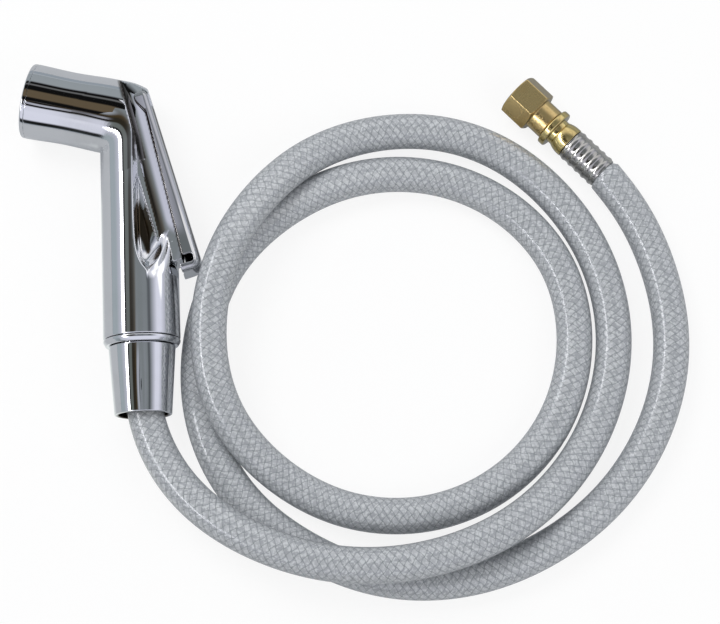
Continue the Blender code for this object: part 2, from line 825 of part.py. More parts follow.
def make_valve():
    gland_r = GLAND_BORE_R - SEAT_GAP
    gland_low = GLAND_SINK + GLAND_LEN
    cage_low = gland_low + CAGE_LEN
    stem_bore = STEM_R + RUN_GAP
    gland = turned(
        "valve_gland",
        (
            (gland_r - 0.4 * MM, -GLAND_SINK),
            (gland_r, -GLAND_SINK - 0.4 * MM),
            (gland_r, -cage_low),
            (CAGE_R, -cage_low),
            (CAGE_R, -gland_low),
            (stem_bore, -gland_low),
            (stem_bore, -GLAND_SINK),
        ),
        BRASS,
        VALVE,
    )
    port_depth = gland_low + CAGE_LEN / 2
    for name, way in (("cage_port_x", (1, 0, 0)), ("cage_port_y", (0, 1, 0))):
        reach = Vector(way) * (gland_r + 2 * MM)
        level = Vector((0.0, 0.0, -port_depth))
        boolean(
            gland, rod(name, level - reach, level + reach, CAGE_PORT_R, None, VALVE, sides=16)
        )
    spanner = hole_cutter(
        "spanner_holes",
        ((SPANNER_HOLES, 2),),
        SPANNER_HOLE_R,
        2 * MM,
        -GLAND_SINK - 1.5 * MM,
        VALVE,
    )
    boolean(gland, spanner)

    seat_top = cage_low + SEAT_GAP
    turned(
        "valve_seat",
        (
            (gland_r, -seat_top),
            (gland_r, -seat_top - SEAT_T),
            (SEAT_HOLE_R, -seat_top - SEAT_T),
            (SEAT_HOLE_R, -seat_top),
        ),
        WHITE_PLASTIC,
        VALVE,
    )
    washer_top = seat_top + SEAT_T + SEAT_GAP
    turned(
        "poppet_washer",
        (
            (WASHER_R, -washer_top),
            (WASHER_R, -washer_top - WASHER_T),
            (STEM_NECK_R + SEAT_GAP, -washer_top - WASHER_T),
            (STEM_NECK_R + SEAT_GAP, -washer_top),
        ),
        RUBBER,
        VALVE,
    )

    poppet_top = washer_top + WASHER_T + SEAT_GAP
    poppet_low = poppet_top + POPPET_T
    stem_end = tongue_depth(VALVE_ALONG) - LEVER_WEB_T - SEAT_GAP
    groove_half = STEM_RING_R + SEAT_GAP / 2
    groove_r = STEM_RING_MAJOR - STEM_RING_R - RUN_GAP
    turned(
        "valve_stem",
        (
            (0.0, stem_end),
            (STEM_R - 0.9 * MM, stem_end - 0.15 * MM),
            (STEM_R, stem_end - 0.8 * MM),
            (STEM_R, -STEM_GROOVE + groove_half),
            (groove_r, -STEM_GROOVE + groove_half),
            (groove_r, -STEM_GROOVE - groove_half),
            (STEM_R, -STEM_GROOVE - groove_half),
            (STEM_R, -gland_low + 0.6 * MM),
            (STEM_NECK_R, -gland_low),
            (STEM_NECK_R, -poppet_top),
            (WASHER_R, -poppet_top),
            (WASHER_R, -poppet_low),
            (TAIL_R, -poppet_low),
            (TAIL_R, -poppet_low - TAIL_LEN + 0.4 * MM),
            (TAIL_R - 0.4 * MM, -poppet_low - TAIL_LEN),
            (0.0, -poppet_low - TAIL_LEN),
        ),
        BRASS,
        VALVE,
        steps=32,
        closed=False,
    )
    o_ring("stem_o_ring", STEM_RING_MAJOR, STEM_RING_R, -STEM_GROOVE, RUBBER, VALVE)
    make_spring(poppet_low + SEAT_GAP, CHAMBER_END - SEAT_GAP)


def make_spring(top, bottom):
    """Return spring of round wire, one unbroken tube with real turns."""
    first = -top - SPRING_WIRE_R
    last = -bottom + SPRING_WIRE_R
    count = int(SPRING_TURNS * SPRING_POINTS_PER_TURN) + 1
    points = []
    for i in range(count):
        share = i / (count - 1)
        angle = math.tau * SPRING_TURNS * share
        points.append(
            Vector(
                (SPRING_R * math.cos(angle), SPRING_R * math.sin(angle), lerp(first, last, share))
            )
        )
    pitch = (first - last) / SPRING_TURNS
    print(f"valve_spring: least gap between turns {(pitch - 2 * SPRING_WIRE_R) / MM:.2f} mm")
    tube("valve_spring", points, [1.0] * count, SPRING_WIRE_R, 1, STEEL, VALVE)


def tube(name, points, radii, radius, resolution, looks, parent=None):
    """A round tube along points, made as a curve and closed at both ends."""
    curve = bpy.data.curves.new(name, "CURVE")
    curve.dimensions = "3D"
    curve.bevel_depth = radius
    curve.bevel_resolution = resolution
    curve.use_fill_caps = True
    spline = curve.splines.new("POLY")
    spline.points.add(len(points) - 1)
    for item, point, share in zip(spline.points, points, radii):
        item.co = (*point, 1.0)
        item.radius = share
    guide = bpy.data.objects.new(name + "_guide", curve)
    CUTTERS.objects.link(guide)
    guide.hide_render = True
    bpy.context.view_layer.update()
    graph = bpy.context.evaluated_depsgraph_get()
    bm = bmesh.new()
    bm.from_mesh(bpy.data.meshes.new_from_object(guide.evaluated_get(graph)))
    bpy.data.objects.remove(guide)
    return add_object(name, mesh_from(name, bm), looks, parent)


# Spray head


def make_head():
    skirt_in = SKIRT_R - SKIRT_T
    plate_r = skirt_in - SEAT_GAP
    plate_top = LIP_T + SEAT_GAP
    plate_low = plate_top + SPRAY_T
    ring_mid = plate_low + SEAT_GAP + FACE_RING_R
    flow_top = ring_mid + FACE_RING_R + SEAT_GAP
    flow_low = flow_top + FLOW_T
    turned(
        "bezel_ring",
        (
            (BEZEL_R - BEZEL_EDGE, 0.0),
            (BEZEL_R - 0.15 * MM, -0.15 * MM),
            (BEZEL_R, -BEZEL_EDGE),
            (BEZEL_R, -BEZEL_T),
            (SKIRT_R, -BEZEL_T),
            (SKIRT_R, -flow_low),
            (skirt_in, -flow_low),
            (skirt_in, -LIP_T),
            (LIP_R, -LIP_T),
            (LIP_R, -0.4 * MM),
            (LIP_R + 0.4 * MM, 0.0),
        ),
        CHROME,
        HEAD,
        steps=48,
    )
    boss_r = LIP_R - SEAT_GAP
    plate = turned(
        "spray_plate",
        (
            (0.0, -plate_top + SPRAY_BOSS_T + 0.25 * MM),
            (boss_r - 1.2 * MM, -plate_top + SPRAY_BOSS_T),
            (boss_r, -plate_top + SPRAY_BOSS_T - 0.5 * MM),
            (boss_r, -plate_top),
            (plate_r, -plate_top),
            (plate_r, -plate_low),
            (0.0, -plate_low),
        ),
        WHITE_PLASTIC,
        HEAD,
        steps=48,
        closed=False,
    )
    boolean(
        plate, hole_cutter("nozzle_holes", NOZZLE_RINGS, NOZZLE_R, 2 * MM, -6 * MM, HEAD, sides=8)
    )
    o_ring("face_o_ring", plate_r - FACE_RING_R, FACE_RING_R, -ring_mid, RUBBER, HEAD)
    disc = turned(
        "flow_disc",
        (
            (0.0, -flow_top),
            (plate_r, -flow_top),
            (plate_r, -flow_low),
            (0.0, -flow_low),
        ),
        WHITE_PLASTIC,
        HEAD,
        closed=False,
    )
    boolean(disc, hole_cutter("flow_holes", FLOW_RINGS, FLOW_HOLE_R, 0.0, -9 * MM, HEAD, sides=10))


# Collar, nut, and the hose's tail


def barb_outline(top, length, root):
    """Outer side of a barb from its root down, saw-toothed so that the hose can't slide off."""
    teeth = int(length / BARB_PITCH)
    outline = [(root, -top)]
    for i in range(teeth):
        start = top + (i + 0.35) * length / teeth
        outline.append((BARB_ROOT_R if i else root, -start))
        outline.append((BARB_R, -start - 0.1 * MM))
    outline.append((BARB_ROOT_R, -top - length))
    return outline


def ferrule_outline(top, length, crimp_r, ribs):
    """A crimped tube with round ribs between its squeezed bands."""
    inner = crimp_r + SEAT_GAP
    low_r = inner + FERRULE_WALL
    outline = [(low_r, -top)]
    pitch = length / ribs
    for i in range(ribs):
        for share, rise in ((0.2, 0.0), (0.4, 1.0), (0.6, 1.0), (0.8, 0.0)):
            outline.append((low_r + FERRULE_RIB * rise, -top - pitch * (i + share)))
    outline += [(low_r, -top - length), (inner, -top - length), (inner, -top)]
    return outline


COLLAR_TOP = SEAT_GAP
NUT_TOP = COLLAR_TOP + COLLAR_T + SEAT_GAP
NUT_LOW = NUT_TOP + NUT_LEN
HOSE_WASHER_TOP = SPIGOT_LEN + SEAT_GAP
TAIL_TOP = HOSE_WASHER_TOP + HOSE_WASHER_T + SEAT_GAP
TAIL_FLANGE_LOW = TAIL_TOP + TAIL_FLANGE_T
NUT_WEB_TOP = TAIL_FLANGE_LOW + SEAT_GAP


def make_hose_joint():
    bore = SPIGOT_R + SEAT_GAP
    turned(
        "base_collar",
        (
            (HANDLE_R - 0.4 * MM, -COLLAR_TOP),
            (HANDLE_R, -COLLAR_TOP - 0.3 * MM),
            (HANDLE_R, -COLLAR_TOP - 0.9 * MM),
            (COLLAR_LOW_R, -COLLAR_TOP - COLLAR_T + 0.3 * MM),
            (COLLAR_LOW_R - 0.4 * MM, -COLLAR_TOP - COLLAR_T),
            (bore, -COLLAR_TOP - COLLAR_T),
            (bore, -COLLAR_TOP),
        ),
        CHROME,
        HANDSET,
        steps=48,
    )
    turned(
        "cone_nut",
        (
            (NUT_TOP_R - NUT_EDGE, -NUT_TOP),
            (NUT_TOP_R, -NUT_TOP - NUT_EDGE),
            (NUT_LOW_R, -NUT_LOW + NUT_EDGE),
            (NUT_LOW_R - NUT_EDGE, -NUT_LOW),
            (NUT_MOUTH_R, -NUT_LOW),
            (NUT_WEB_R + 0.8 * MM, -NUT_WEB_TOP - NUT_WEB_T),
            (NUT_WEB_R, -NUT_WEB_TOP - NUT_WEB_T),
            (NUT_WEB_R, -NUT_WEB_TOP),
            (bore, -NUT_WEB_TOP),
            (bore, -NUT_TOP),
        ),
        CHROME,
        HANDSET,
        steps=48,
    )
    turned(
        "hose_washer",
        (
            (TAIL_FLANGE_R, -HOSE_WASHER_TOP),
            (TAIL_FLANGE_R, -HOSE_WASHER_TOP - HOSE_WASHER_T),
            (HOSE_WASHER_BORE_R, -HOSE_WASHER_TOP - HOSE_WASHER_T),
            (HOSE_WASHER_BORE_R, -HOSE_WASHER_TOP),
        ),
        RUBBER,
        HANDSET,
    )
    tail = [(TAIL_FLANGE_R, -TAIL_TOP), (TAIL_FLANGE_R, -TAIL_FLANGE_LOW)]
    tail += barb_outline(TAIL_FLANGE_LOW, TAIL_BARB_LEN, BARB_ROOT_R)
    tail += [(BARB_BORE_R, -TAIL_FLANGE_LOW - TAIL_BARB_LEN), (BARB_BORE_R, -TAIL_TOP)]
    turned("hose_tail", tail, BRASS, HANDSET)
    ferrule = ferrule_outline(
        TAIL_FLANGE_LOW + 2 * SEAT_GAP, TAIL_FERRULE_LEN, TAIL_CRIMP_R, TAIL_FERRULE_RIBS
    )
    turned("handset_ferrule", ferrule, STEEL, HANDSET)


# Inlet fitting

NUT_BACK = HEX_LEN + NECK_LEN
FLANGE_TOP = NUT_BACK + SEAT_GAP
OGIVE_TOP = FLANGE_TOP + FLANGE_T + GROOVE_LEN
OGIVE_LOW = OGIVE_TOP + OGIVE_LEN


def make_inlet():
    corner_r = HEX_FLATS / 2 / math.cos(math.radians(30.0)) + 0.1 * MM
    chamfer_r = HEX_FLATS / 2 - 0.1 * MM
    shank_bore = SHANK_R + SEAT_GAP
    nut = turned(
        "inlet_nut",
        (
            (chamfer_r, 0.0),
            (corner_r, -HEX_CHAMFER),
            (corner_r, -HEX_LEN + HEX_CHAMFER),
            (chamfer_r, -HEX_LEN),
            (NECK_R, -HEX_LEN),
            (NECK_R, -NUT_BACK + 0.4 * MM),
            (NECK_R - 0.4 * MM, -NUT_BACK),
            (shank_bore, -NUT_BACK),
            (shank_bore, -THREAD_BORE_LEN),
            (THREAD_BORE_R, -THREAD_BORE_LEN),
            (THREAD_BORE_R, -0.5 * MM),
            (THREAD_BORE_R + 0.5 * MM, 0.0),
        ),
        BRASS,
        INLET,
        steps=48,
    )
    bm = bmesh.new()
    bmesh.ops.create_cone(
        bm,
        cap_ends=True,
        segments=6,
        radius1=HEX_FLATS / 2 / math.cos(math.radians(30.0)),
        radius2=HEX_FLATS / 2 / math.cos(math.radians(30.0)),
        depth=80 * MM,
    )
    hexagon = add_object("hexagon_cutter", mesh_from("hexagon_cutter", bm), None, INLET)
    boolean(nut, hexagon, "INTERSECT")

    head_low = THREAD_BORE_LEN - SEAT_GAP
    head_top = head_low - STEM_HEAD_T
    head_r = THREAD_BORE_R - SEAT_GAP
    stem = [
        (head_r, -head_top),
        (head_r, -head_low),
        (SHANK_R, -head_low),
        (SHANK_R, -FLANGE_TOP),
        (FLANGE_R - 0.5 * MM, -FLANGE_TOP),
        (FLANGE_R, -FLANGE_TOP - 0.6 * MM),
        (FLANGE_R, -FLANGE_TOP - FLANGE_T + 0.6 * MM),
        (FLANGE_R - 0.5 * MM, -FLANGE_TOP - FLANGE_T),
        (GROOVE_R, -FLANGE_TOP - FLANGE_T),
        (GROOVE_R, -OGIVE_TOP),
        (lerp(GROOVE_R, OGIVE_R, 0.6), -OGIVE_TOP - 0.12 * OGIVE_LEN),
        (lerp(GROOVE_R, OGIVE_R, 0.92), -OGIVE_TOP - 0.4 * OGIVE_LEN),
        (OGIVE_R, -OGIVE_TOP - 0.7 * OGIVE_LEN),
        (OGIVE_R, -OGIVE_LOW + 0.4 * MM),
        (OGIVE_R - 0.4 * MM, -OGIVE_LOW),
    ]
    stem += barb_outline(OGIVE_LOW, INLET_BARB_LEN, BARB_ROOT_R)
    stem += [(BARB_BORE_R, -OGIVE_LOW - INLET_BARB_LEN), (BARB_BORE_R, -head_top)]
    turned("inlet_stem", stem, BRASS, INLET)

    washer_low = head_top - SEAT_GAP
    turned(
        "inlet_washer",
        (
            (head_r, -washer_low + INLET_WASHER_T),
            (head_r, -washer_low),
            (INLET_WASHER_BORE_R, -washer_low),
            (INLET_WASHER_BORE_R, -washer_low + INLET_WASHER_T),
        ),
        RUBBER,
        INLET,
    )
    ferrule = ferrule_outline(
        OGIVE_LOW + SEAT_GAP, INLET_FERRULE_LEN, INLET_CRIMP_R, INLET_FERRULE_RIBS
    )
    turned("inlet_ferrule", ferrule, STEEL, INLET)


# Hose


def smooth_line(points, step):
    """Points at even steps along the natural cubic curve through the given ones."""
    points = np.array(points)
    gaps = np.linalg.norm(np.diff(points, axis=0), axis=1)
    knots = np.concatenate(([0.0], np.cumsum(gaps)))
    count = len(points)
    lines = np.eye(count)
    bends = np.zeros((count, 3))
    for i in range(1, count - 1):
        lines[i, i - 1 : i + 2] = (gaps[i - 1], 2 * (gaps[i - 1] + gaps[i]), gaps[i])
        ahead = (points[i + 1] - points[i]) / gaps[i]
        behind = (points[i] - points[i - 1]) / gaps[i - 1]
        bends[i] = 6 * (ahead - behind)
    bends = np.linalg.solve(lines, bends)
    line = []
    for place in np.linspace(0.0, knots[-1], round(knots[-1] / step) + 1):
        i = min(max(int(np.searchsorted(knots, place)) - 1, 0), count - 2)
        a = (knots[i + 1] - place) / gaps[i]
        b = 1.0 - a
        curve = ((a**3 - a) * bends[i] + (b**3 - b) * bends[i + 1]) * gaps[i] ** 2 / 6
        line.append(a * points[i] + b * points[i + 1] + curve)
    return [Vector(point) for point in line]


def make_hose():
    """One tube from the handset's tail to the inlet, squeezed in under both ferrules."""
    handle_down = HANDSET.matrix_world.to_3x3() @ Vector((0.0, 0.0, -1.0))
    start = HANDLE_POS + handle_down * (TAIL_FLANGE_LOW + SEAT_GAP)
    free_start = TAIL_FLANGE_LOW + 2 * SEAT_GAP + TAIL_FERRULE_LEN + 2 * MM
    end = INLET_POS - INLET_WAY * (OGIVE_LOW + SEAT_GAP)
    free_end = INLET_POS - INLET_WAY * (OGIVE_LOW + SEAT_GAP + INLET_FERRULE_LEN + 1.5 * MM)
    route = [HANDLE_POS + handle_down * free_start]
    route += [Vector(point) * MM for point in ROUTE]
    route.append(free_end)
    line = smooth_line(route, HOSE_POINT_STEP)
    for point in line:
        point.z = max(point.z, HOSE_LIE_Z)

    tail_squeeze = TAIL_CRIMP_R / HOSE_R
    inlet_squeeze = INLET_CRIMP_R / HOSE_R
    points = [start]
    radii = [tail_squeeze]
    points.append(start + handle_down * (TAIL_FERRULE_LEN + SEAT_GAP))
    radii.append(tail_squeeze)
    points += line
    radii += [1.0] * len(line)
    points.append(end - INLET_WAY * INLET_FERRULE_LEN)
    radii.append(inlet_squeeze)
    points.append(end)
    radii.append(inlet_squeeze)
    hose = tube("hose", points, radii, HOSE_R, 4, CLEAR_VINYL)

    sockets = (
        ("tail_socket", start, handle_down, TAIL_BARB_LEN + 0.4 * MM),
        ("inlet_socket", end, -INLET_WAY, INLET_BARB_LEN + 0.4 * MM),
    )
    for name, mouth, way, depth in sockets:
        boolean(hose, rod(name, mouth - way * 3 * MM, mouth + way * depth, HOSE_SOCKET_R, None))
    length = sum((b - a).length for a, b in zip(points, points[1:]))
    print(f"hose: {length:.3f} m long, {len(points)} points")


bpy.context.view_layer.update()
make_body()
make_lever()
make_valve()
make_head()
make_hose_joint()
make_inlet()
make_hose()
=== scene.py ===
"""Looks of the handheld bath sprayer: chrome shells with rounded edges, braided hose, brass inlet.

Lengths are in millimetres in the tables and fields, and in metres in meshes and shader nodes. The
handset's own frame is its CAD's: +Z up the handle, -X the spray side, +X the lever side.
"""

import math

import bmesh
import bpy
import numpy as np
from mathutils import Matrix, Vector


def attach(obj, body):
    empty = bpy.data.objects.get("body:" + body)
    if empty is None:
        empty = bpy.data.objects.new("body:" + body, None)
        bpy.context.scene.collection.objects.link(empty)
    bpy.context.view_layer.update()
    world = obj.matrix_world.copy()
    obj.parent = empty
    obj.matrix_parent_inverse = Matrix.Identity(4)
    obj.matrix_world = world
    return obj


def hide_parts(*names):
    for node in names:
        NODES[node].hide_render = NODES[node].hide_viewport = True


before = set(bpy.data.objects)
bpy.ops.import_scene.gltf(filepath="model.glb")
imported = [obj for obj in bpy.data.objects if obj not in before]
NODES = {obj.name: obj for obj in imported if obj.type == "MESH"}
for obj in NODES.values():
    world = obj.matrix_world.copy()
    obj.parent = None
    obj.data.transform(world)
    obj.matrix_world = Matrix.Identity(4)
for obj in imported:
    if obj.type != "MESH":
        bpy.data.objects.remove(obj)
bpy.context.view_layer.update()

MM = 0.001

# Camera, as the photograph was taken: nearly from above
CAMERA_AIM = Vector((0.1055, -0.0286, 0.0))
CAMERA_TILT = math.radians(12.0)
CAMERA_DISTANCE = 0.85
CAMERA_LENS = 100.0

# Studio; the strip's angles are in radians from straight up
STRIP_ANGLE = math.radians(51.0)
STRIP_FADE = (0.015, 0.09)
STRIP_GAIN = 13.0
ROOM_LIGHT = 0.55
DARK_BOARD_Z = 45.0
LIGHT_BOARD_Z = 60.0
WHITE = (1.0, 1.0, 1.0)
PAPER = (0.93, 0.93, 0.93)
BLACK = (0.006, 0.006, 0.006)

# Nets laid on fields
SLAB = 24  # rows worked out at a time
PROBE = 0.02
FAR = 40.0  # clear of every piece

# Handset
HANDLE_POS = Vector((14.9, -43.9, 16.0)) * MM
HANDLE_TILT = math.radians(2.4)
HANDLE_R = 16.0
BASE_EDGE = 0.6
ELBOW_Z = 94.7
BEND_R = 9.0
HEAD_RISE = math.radians(13.7)
HEAD_LEN = 47.5
HEAD_R = 16.0
HEAD_NECK_R = 15.5
CROTCH_SPREAD = 1.2  # how far the bend's inner crease is smoothed, at its edge and on its flanks
CROTCH_FLANK_SPREAD = 9.0
CROTCH_REACH = 36.0
SPIGOT_R = 10.5
SPIGOT_LEN = 10.5
SPIGOT_BORE_R = 4.6
SEAT_GAP = 0.3
SWING_GAP = 0.5
RUN_GAP = 0.1

# Lever
LEVER_TOP = (4.95, 107.75)  # X and Z of its back's upper end
LEVER_SLOPE = math.radians(15.4)
LEVER_SIN = math.sin(LEVER_SLOPE)
LEVER_COS = math.cos(LEVER_SLOPE)
LEVER_LEN = 81.8
LEVER_HALF = 9.2
LEVER_SIDE_T = 1.6
LEVER_WEB_T = 1.8
LEVER_END_T = 3.2
LEVER_SIDE_TOP = 3.4
LEVER_SIDE_LOW = 7.0
LEVER_END_DEPTH = 9.0
LEVER_END = LEVER_LEN - LEVER_END_T
LEVER_WINDOW = 3.6
LEVER_WINDOW_DEPTH = 2.8
LEVER_TOE = 4.6
LEVER_EDGE_R = 3.0
LEVER_LEAN = 0.13
LEVER_SQUEEZE = math.tan(math.radians(2.0))
EAR_R = 3.4
PIVOT_DROP = 4.0
WEB_START = 9.5
PIN_R = 1.25
LOW_SIDE = LEVER_END - LEVER_WINDOW / 2

# Tongue, scoops and shoulder of the handle
TONGUE_HALF = 7.3
TONGUE_CROWN = 0.28
STRIP_HALF = 3.6  # of the tongue's side that shows beside the lever
SCOOP_TOP = (-6.2, 110.0)
SCOOP_LOW = (9.2, 44.4)
SCOOP_APEX_Z = 87.0
SCOOP_DRAFT = 0.1
SLOPE_RUN = 5.7
SHOULDER_TOP = 45.0
SHOULDER_LOW = 21.0
SHOULDER_RISE = 8.9
SHOULDER_EDGE = 4.5
BLOCK_TOP = 30.0  # of the tongue's flat block, down the lever and in from its back
BLOCK_BACK = 0.5
BLOCK_FRONT = 15.0
SLOT_TOP = 52.0  # where the lever's sides start to run in slots beside the tongue
CLEAR = -14.0  # depth outside the lever's back
SCOOP_END = (  # height, front edge, back edge and floor of the scoop round its lower end
    (26.4, 4.6, 4.8, 15.2), (27.2, 3.6, 5.7, 13.2), (28.5, 2.6, 6.7, 11.0),
    (30.5, 1.5, 7.9, 8.7), (32.5, 0.7, 8.8, 7.1), (34.5, 0.1, 9.4, 6.1),
    (37.0, -0.3, 9.9, 5.5), (40.0, -0.6, 9.9, 5.5), (44.4, -0.8, 9.2, 5.8),
    (50.0, -0.9, 7.89, 6.1),
)
DEEP = [  # outline of the scoop's deepest part, X and Z
    (0.5, 59.2), (-0.3, 53.5), (-0.6, 46.3), (0.3, 43.0),
    (1.9, 39.2), (2.6, 36.8), (3.2, 35.3), (4.4, 35.2),
    (5.0, 36.8), (4.8, 39.2), (4.7, 43.0), (4.3, 46.3),
    (2.5, 53.5), (1.1, 57.5),
]

# Valve bore in the tongue
VALVE_ALONG = PIVOT_DROP + 46.0
GLAND_BORE_R = 5.4
CHAMBER_R = 4.4
SEAT_SHELF = 13.2
CHAMBER_END = 22.5

# Spray head; depths are from the spray face
BEZEL_T = 1.5
BEZEL_R = 15.9
LIP_R = 11.2
LIP_T = 1.2
SKIRT_R = 13.9
SKIRT_IN_R = 12.9
HEAD_LEDGE = 7.0
HEAD_CHAMBER_R = 11.4
HEAD_CHAMBER_END = 14.0
SPRAY_T = 1.6
FLOW_T = 3.0

# Collar and nut under the handle; depths are from the handle's end
COLLAR_TOP = 0.3
COLLAR_T = 2.6
COLLAR_LOW_R = 15.2
NUT_TOP = 3.2
NUT_LEN = 28.4
NUT_TOP_R = 13.9
NUT_LOW_R = 11.85
NUT_MOUTH_R = 10.3
NUT_WEB_R = 8.8
NUT_WEB_TOP = 15.4
NUT_WEB_T = 2.5
TAIL_FERRULE_TOP = 15.7
TAIL_FERRULE_LEN = 7.0

# Inlet fitting; depths are from its open end
INLET_POS = Vector((172.9, 65.9, 8.8)) * MM
INLET_TURN = math.radians(135.0)
HEX_FLATS = 17.5
HEX_LEN = 12.9
NECK_R = 7.1
NUT_BACK = 20.5
THREAD_BORE_R = 6.9
THREAD_BORE_LEN = 11.5
THREAD_PITCH = 1.81
THREAD_RISE = 0.45
SHANK_R = 4.7
FLANGE_TOP = 20.8
FLANGE_R = 8.7
FLANGE_T = 3.0
GROOVE_R = 5.9
STEM_HEAD_T = 1.8
STEM_BORE_R = 3.2
BARB_R = 4.2
BARB_LEN = 15.0
OGIVE_TOP = 25.8
OGIVE_R = 7.0
OGIVE_LOW = 31.9
INLET_FERRULE_LEN = 18.7
INLET_CRIMP_R = 6.1
TAIL_CRIMP_R = 6.9
FERRULE_WALL = 0.45
FERRULE_RIB = 0.4

# Hose
HOSE_R = 7.5
HOSE_LIE_Z = 7.7
HOSE_START = 15.7  # below the handle's end
BRAID_THREADS = 10.0
BRAID_WIDTH = 0.44
BRAID_SLANT = 1.4
ROUTE = (
    (18.0, -78.0, 16.2), (35.0, -108.0, 19.9), (62.5, -127.5, 23.0), (95.0, -137.0, 23.1),
    (129.0, -136.0, 23.1), (161.5, -124.5, 21.3), (187.5, -103.5, 13.2), (205.0, -75.5, 7.9),
    (212.0, -42.0, 7.7), (205.5, -7.5, 7.7), (187.5, 21.0, 7.7), (160.5, 41.5, 7.7),
    (127.5, 49.0, 7.7), (95.0, 42.0, 11.4), (68.5, 21.5, 20.8), (50.0, -6.5, 23.4),
    (43.0, -40.0, 23.0), (49.3, -72.5, 20.2), (70.0, -98.0, 11.2), (100.0, -113.5, 7.7),
    (134.0, -115.0, 7.7), (164.5, -102.0, 7.7), (186.5, -77.0, 7.7), (195.5, -43.5, 7.7),
    (189.0, -10.5, 7.7), (167.5, 15.0, 7.7), (136.5, 28.5, 7.7), (102.5, 27.5, 7.7),
    (72.0, 13.0, 7.7), (48.5, -12.5, 7.7), (38.5, -45.0, 7.7), (41.0, -79.0, 7.7),
    (57.0, -109.0, 7.7), (83.5, -130.0, 7.7), (116.0, -142.0, 7.7), (150.0, -141.5, 7.7),
    (182.0, -129.5, 7.7), (208.5, -109.0, 7.7), (228.0, -79.5, 7.7), (236.0, -46.5, 7.7),
    (232.0, -13.0, 7.7), (218.0, 18.0, 8.3),
)


# Frames of the sprayer's parts


def frame_matrix(location, z_way, x_way):
    """From millimetres in a frame whose +Z and +X point the given ways to metres in the world."""
    z_axis = Vector(z_way).normalized()
    y_axis = z_axis.cross(Vector(x_way)).normalized()
    x_axis = y_axis.cross(z_axis)
    turn = Matrix((x_axis, y_axis, z_axis)).transposed().to_4x4()
    return Matrix.Translation(location) @ turn @ Matrix.Scale(MM, 4)


UP_HANDLE = Vector((-math.sin(HANDLE_TILT), math.cos(HANDLE_TILT), 0.0))
HANDSET = frame_matrix(
    HANDLE_POS, UP_HANDLE, (math.cos(HANDLE_TILT), math.sin(HANDLE_TILT), 0.0)
)
HEAD_TURN = math.radians(90.0) - HEAD_RISE
HEAD_WAY = Vector((-math.sin(HEAD_TURN), 0.0, math.cos(HEAD_TURN)))
FACE_CENTRE = Vector((0.0, 0.0, ELBOW_Z)) + HEAD_WAY * HEAD_LEN
HEAD = HANDSET @ frame_matrix(FACE_CENTRE, HEAD_WAY, (0.0, 1.0, 0.0)) @ Matrix.Scale(1 / MM, 4)
INLET_WAY = Vector((math.cos(INLET_TURN), math.sin(INLET_TURN), 0.0))
INLET = frame_matrix(INLET_POS, INLET_WAY, (0.0, 0.0, 1.0))


def add_object(name, data):
    obj = bpy.data.objects.new(name, data)
    bpy.context.scene.collection.objects.link(obj)
    return obj


def add_mesh(name, points, faces):
    mesh = bpy.data.meshes.new(name)
    mesh.from_pydata(points, [], faces)
    return add_object(name, mesh)


# Camera


def make_camera():
    forward = Vector((0.0, math.sin(CAMERA_TILT), -math.cos(CAMERA_TILT)))
    data = bpy.data.cameras.new("photo_camera")
    data.lens = CAMERA_LENS
    data.sensor_width = 36.0
    data.clip_start = 0.05
    data.clip_end = 20.0
    camera = add_object("photo_camera", data)
    camera.location = CAMERA_AIM - forward * CAMERA_DISTANCE
    camera.rotation_euler = (CAMERA_TILT, 0.0, 0.0)
    bpy.context.scene.camera = camera


make_camera()


# Shader node tools. A value is a plain one or a node's output, and finds its own node tree.


def feed(made, values):
    """Sets or links the node's inputs. Colours are given without their alpha."""
    for key, value in values.items():
        socket = made.inputs[key]
        if isinstance(value, bpy.types.NodeSocket):
            made.id_data.links.new(value, socket)
        elif socket.type == "RGBA":
            socket.default_value = (*value, 1.0)
        else:
            socket.default_value = value


def add_node(tree, kind, inputs=None, **settings):
    """Adds a shader node, named without its ShaderNode. Returns its outputs."""
    made = tree.nodes.new("ShaderNode" + kind)
    for key, value in settings.items():
        setattr(made, key, value)
    feed(made, inputs or {})
    return made.outputs


def tree_of(*values):
    return next(value.id_data for value in values if isinstance(value, bpy.types.NodeSocket))


def maths(operation, *values):
    inputs = dict(enumerate(values))
    return add_node(tree_of(*values), "Math", inputs, operation=operation)[0]


def times(a, b):
    return maths("MULTIPLY", a, b)


def minus(a, b):
    return maths("SUBTRACT", a, b)


def mix_colour(share, first, second, blend="MIX"):
    inputs = {0: share, 6: first, 7: second}
    tree = tree_of(share, first, second)
    return add_node(tree, "Mix", inputs, data_type="RGBA", blend_type=blend)[2]


def remap(value, low, high, to_low=0.0, to_high=1.0, kind="LINEAR"):
    inputs = {0: value, 1: low, 2: high, 3: to_low, 4: to_high}
    return add_node(value.id_data, "MapRange", inputs, interpolation_type=kind)[0]


def fade(value, low, high):
    """Smoothly from 0 at low to 1 at high."""
    return remap(value, low, high, kind="SMOOTHSTEP")


def noise(place, scale, detail, roughness):
    inputs = {"Vector": place, "Scale": scale, "Detail": detail, "Roughness": roughness}
    return add_node(place.id_data, "TexNoise", inputs)[0]


def ramp(value, stops):
    """A colour ramp; stops are (place, colour)."""
    made = value.id_data.nodes.new("ShaderNodeValToRGB")
    feed(made, {0: value})
    elements = made.color_ramp.elements
    while len(elements) < len(stops):
        elements.new(1.0)
    for element, (place, colour) in zip(elements, stops):
        element.position = place
        element.color = (*colour, 1.0)
    return made.outputs[0]


def bump(height, strength, distance):
    inputs = {"Height": height, "Strength": strength, "Distance": distance}
    return add_node(height.id_data, "Bump", inputs)[0]


def object_place(tree):
    return add_node(tree, "TexCoord")["Object"]


def split(place):
    return add_node(place.id_data, "SeparateXYZ", {0: place})


def glow(tree, colour, strength=1.0, kind="Emission"):
    return add_node(tree, kind, {"Color": colour, "Strength": strength})[0]


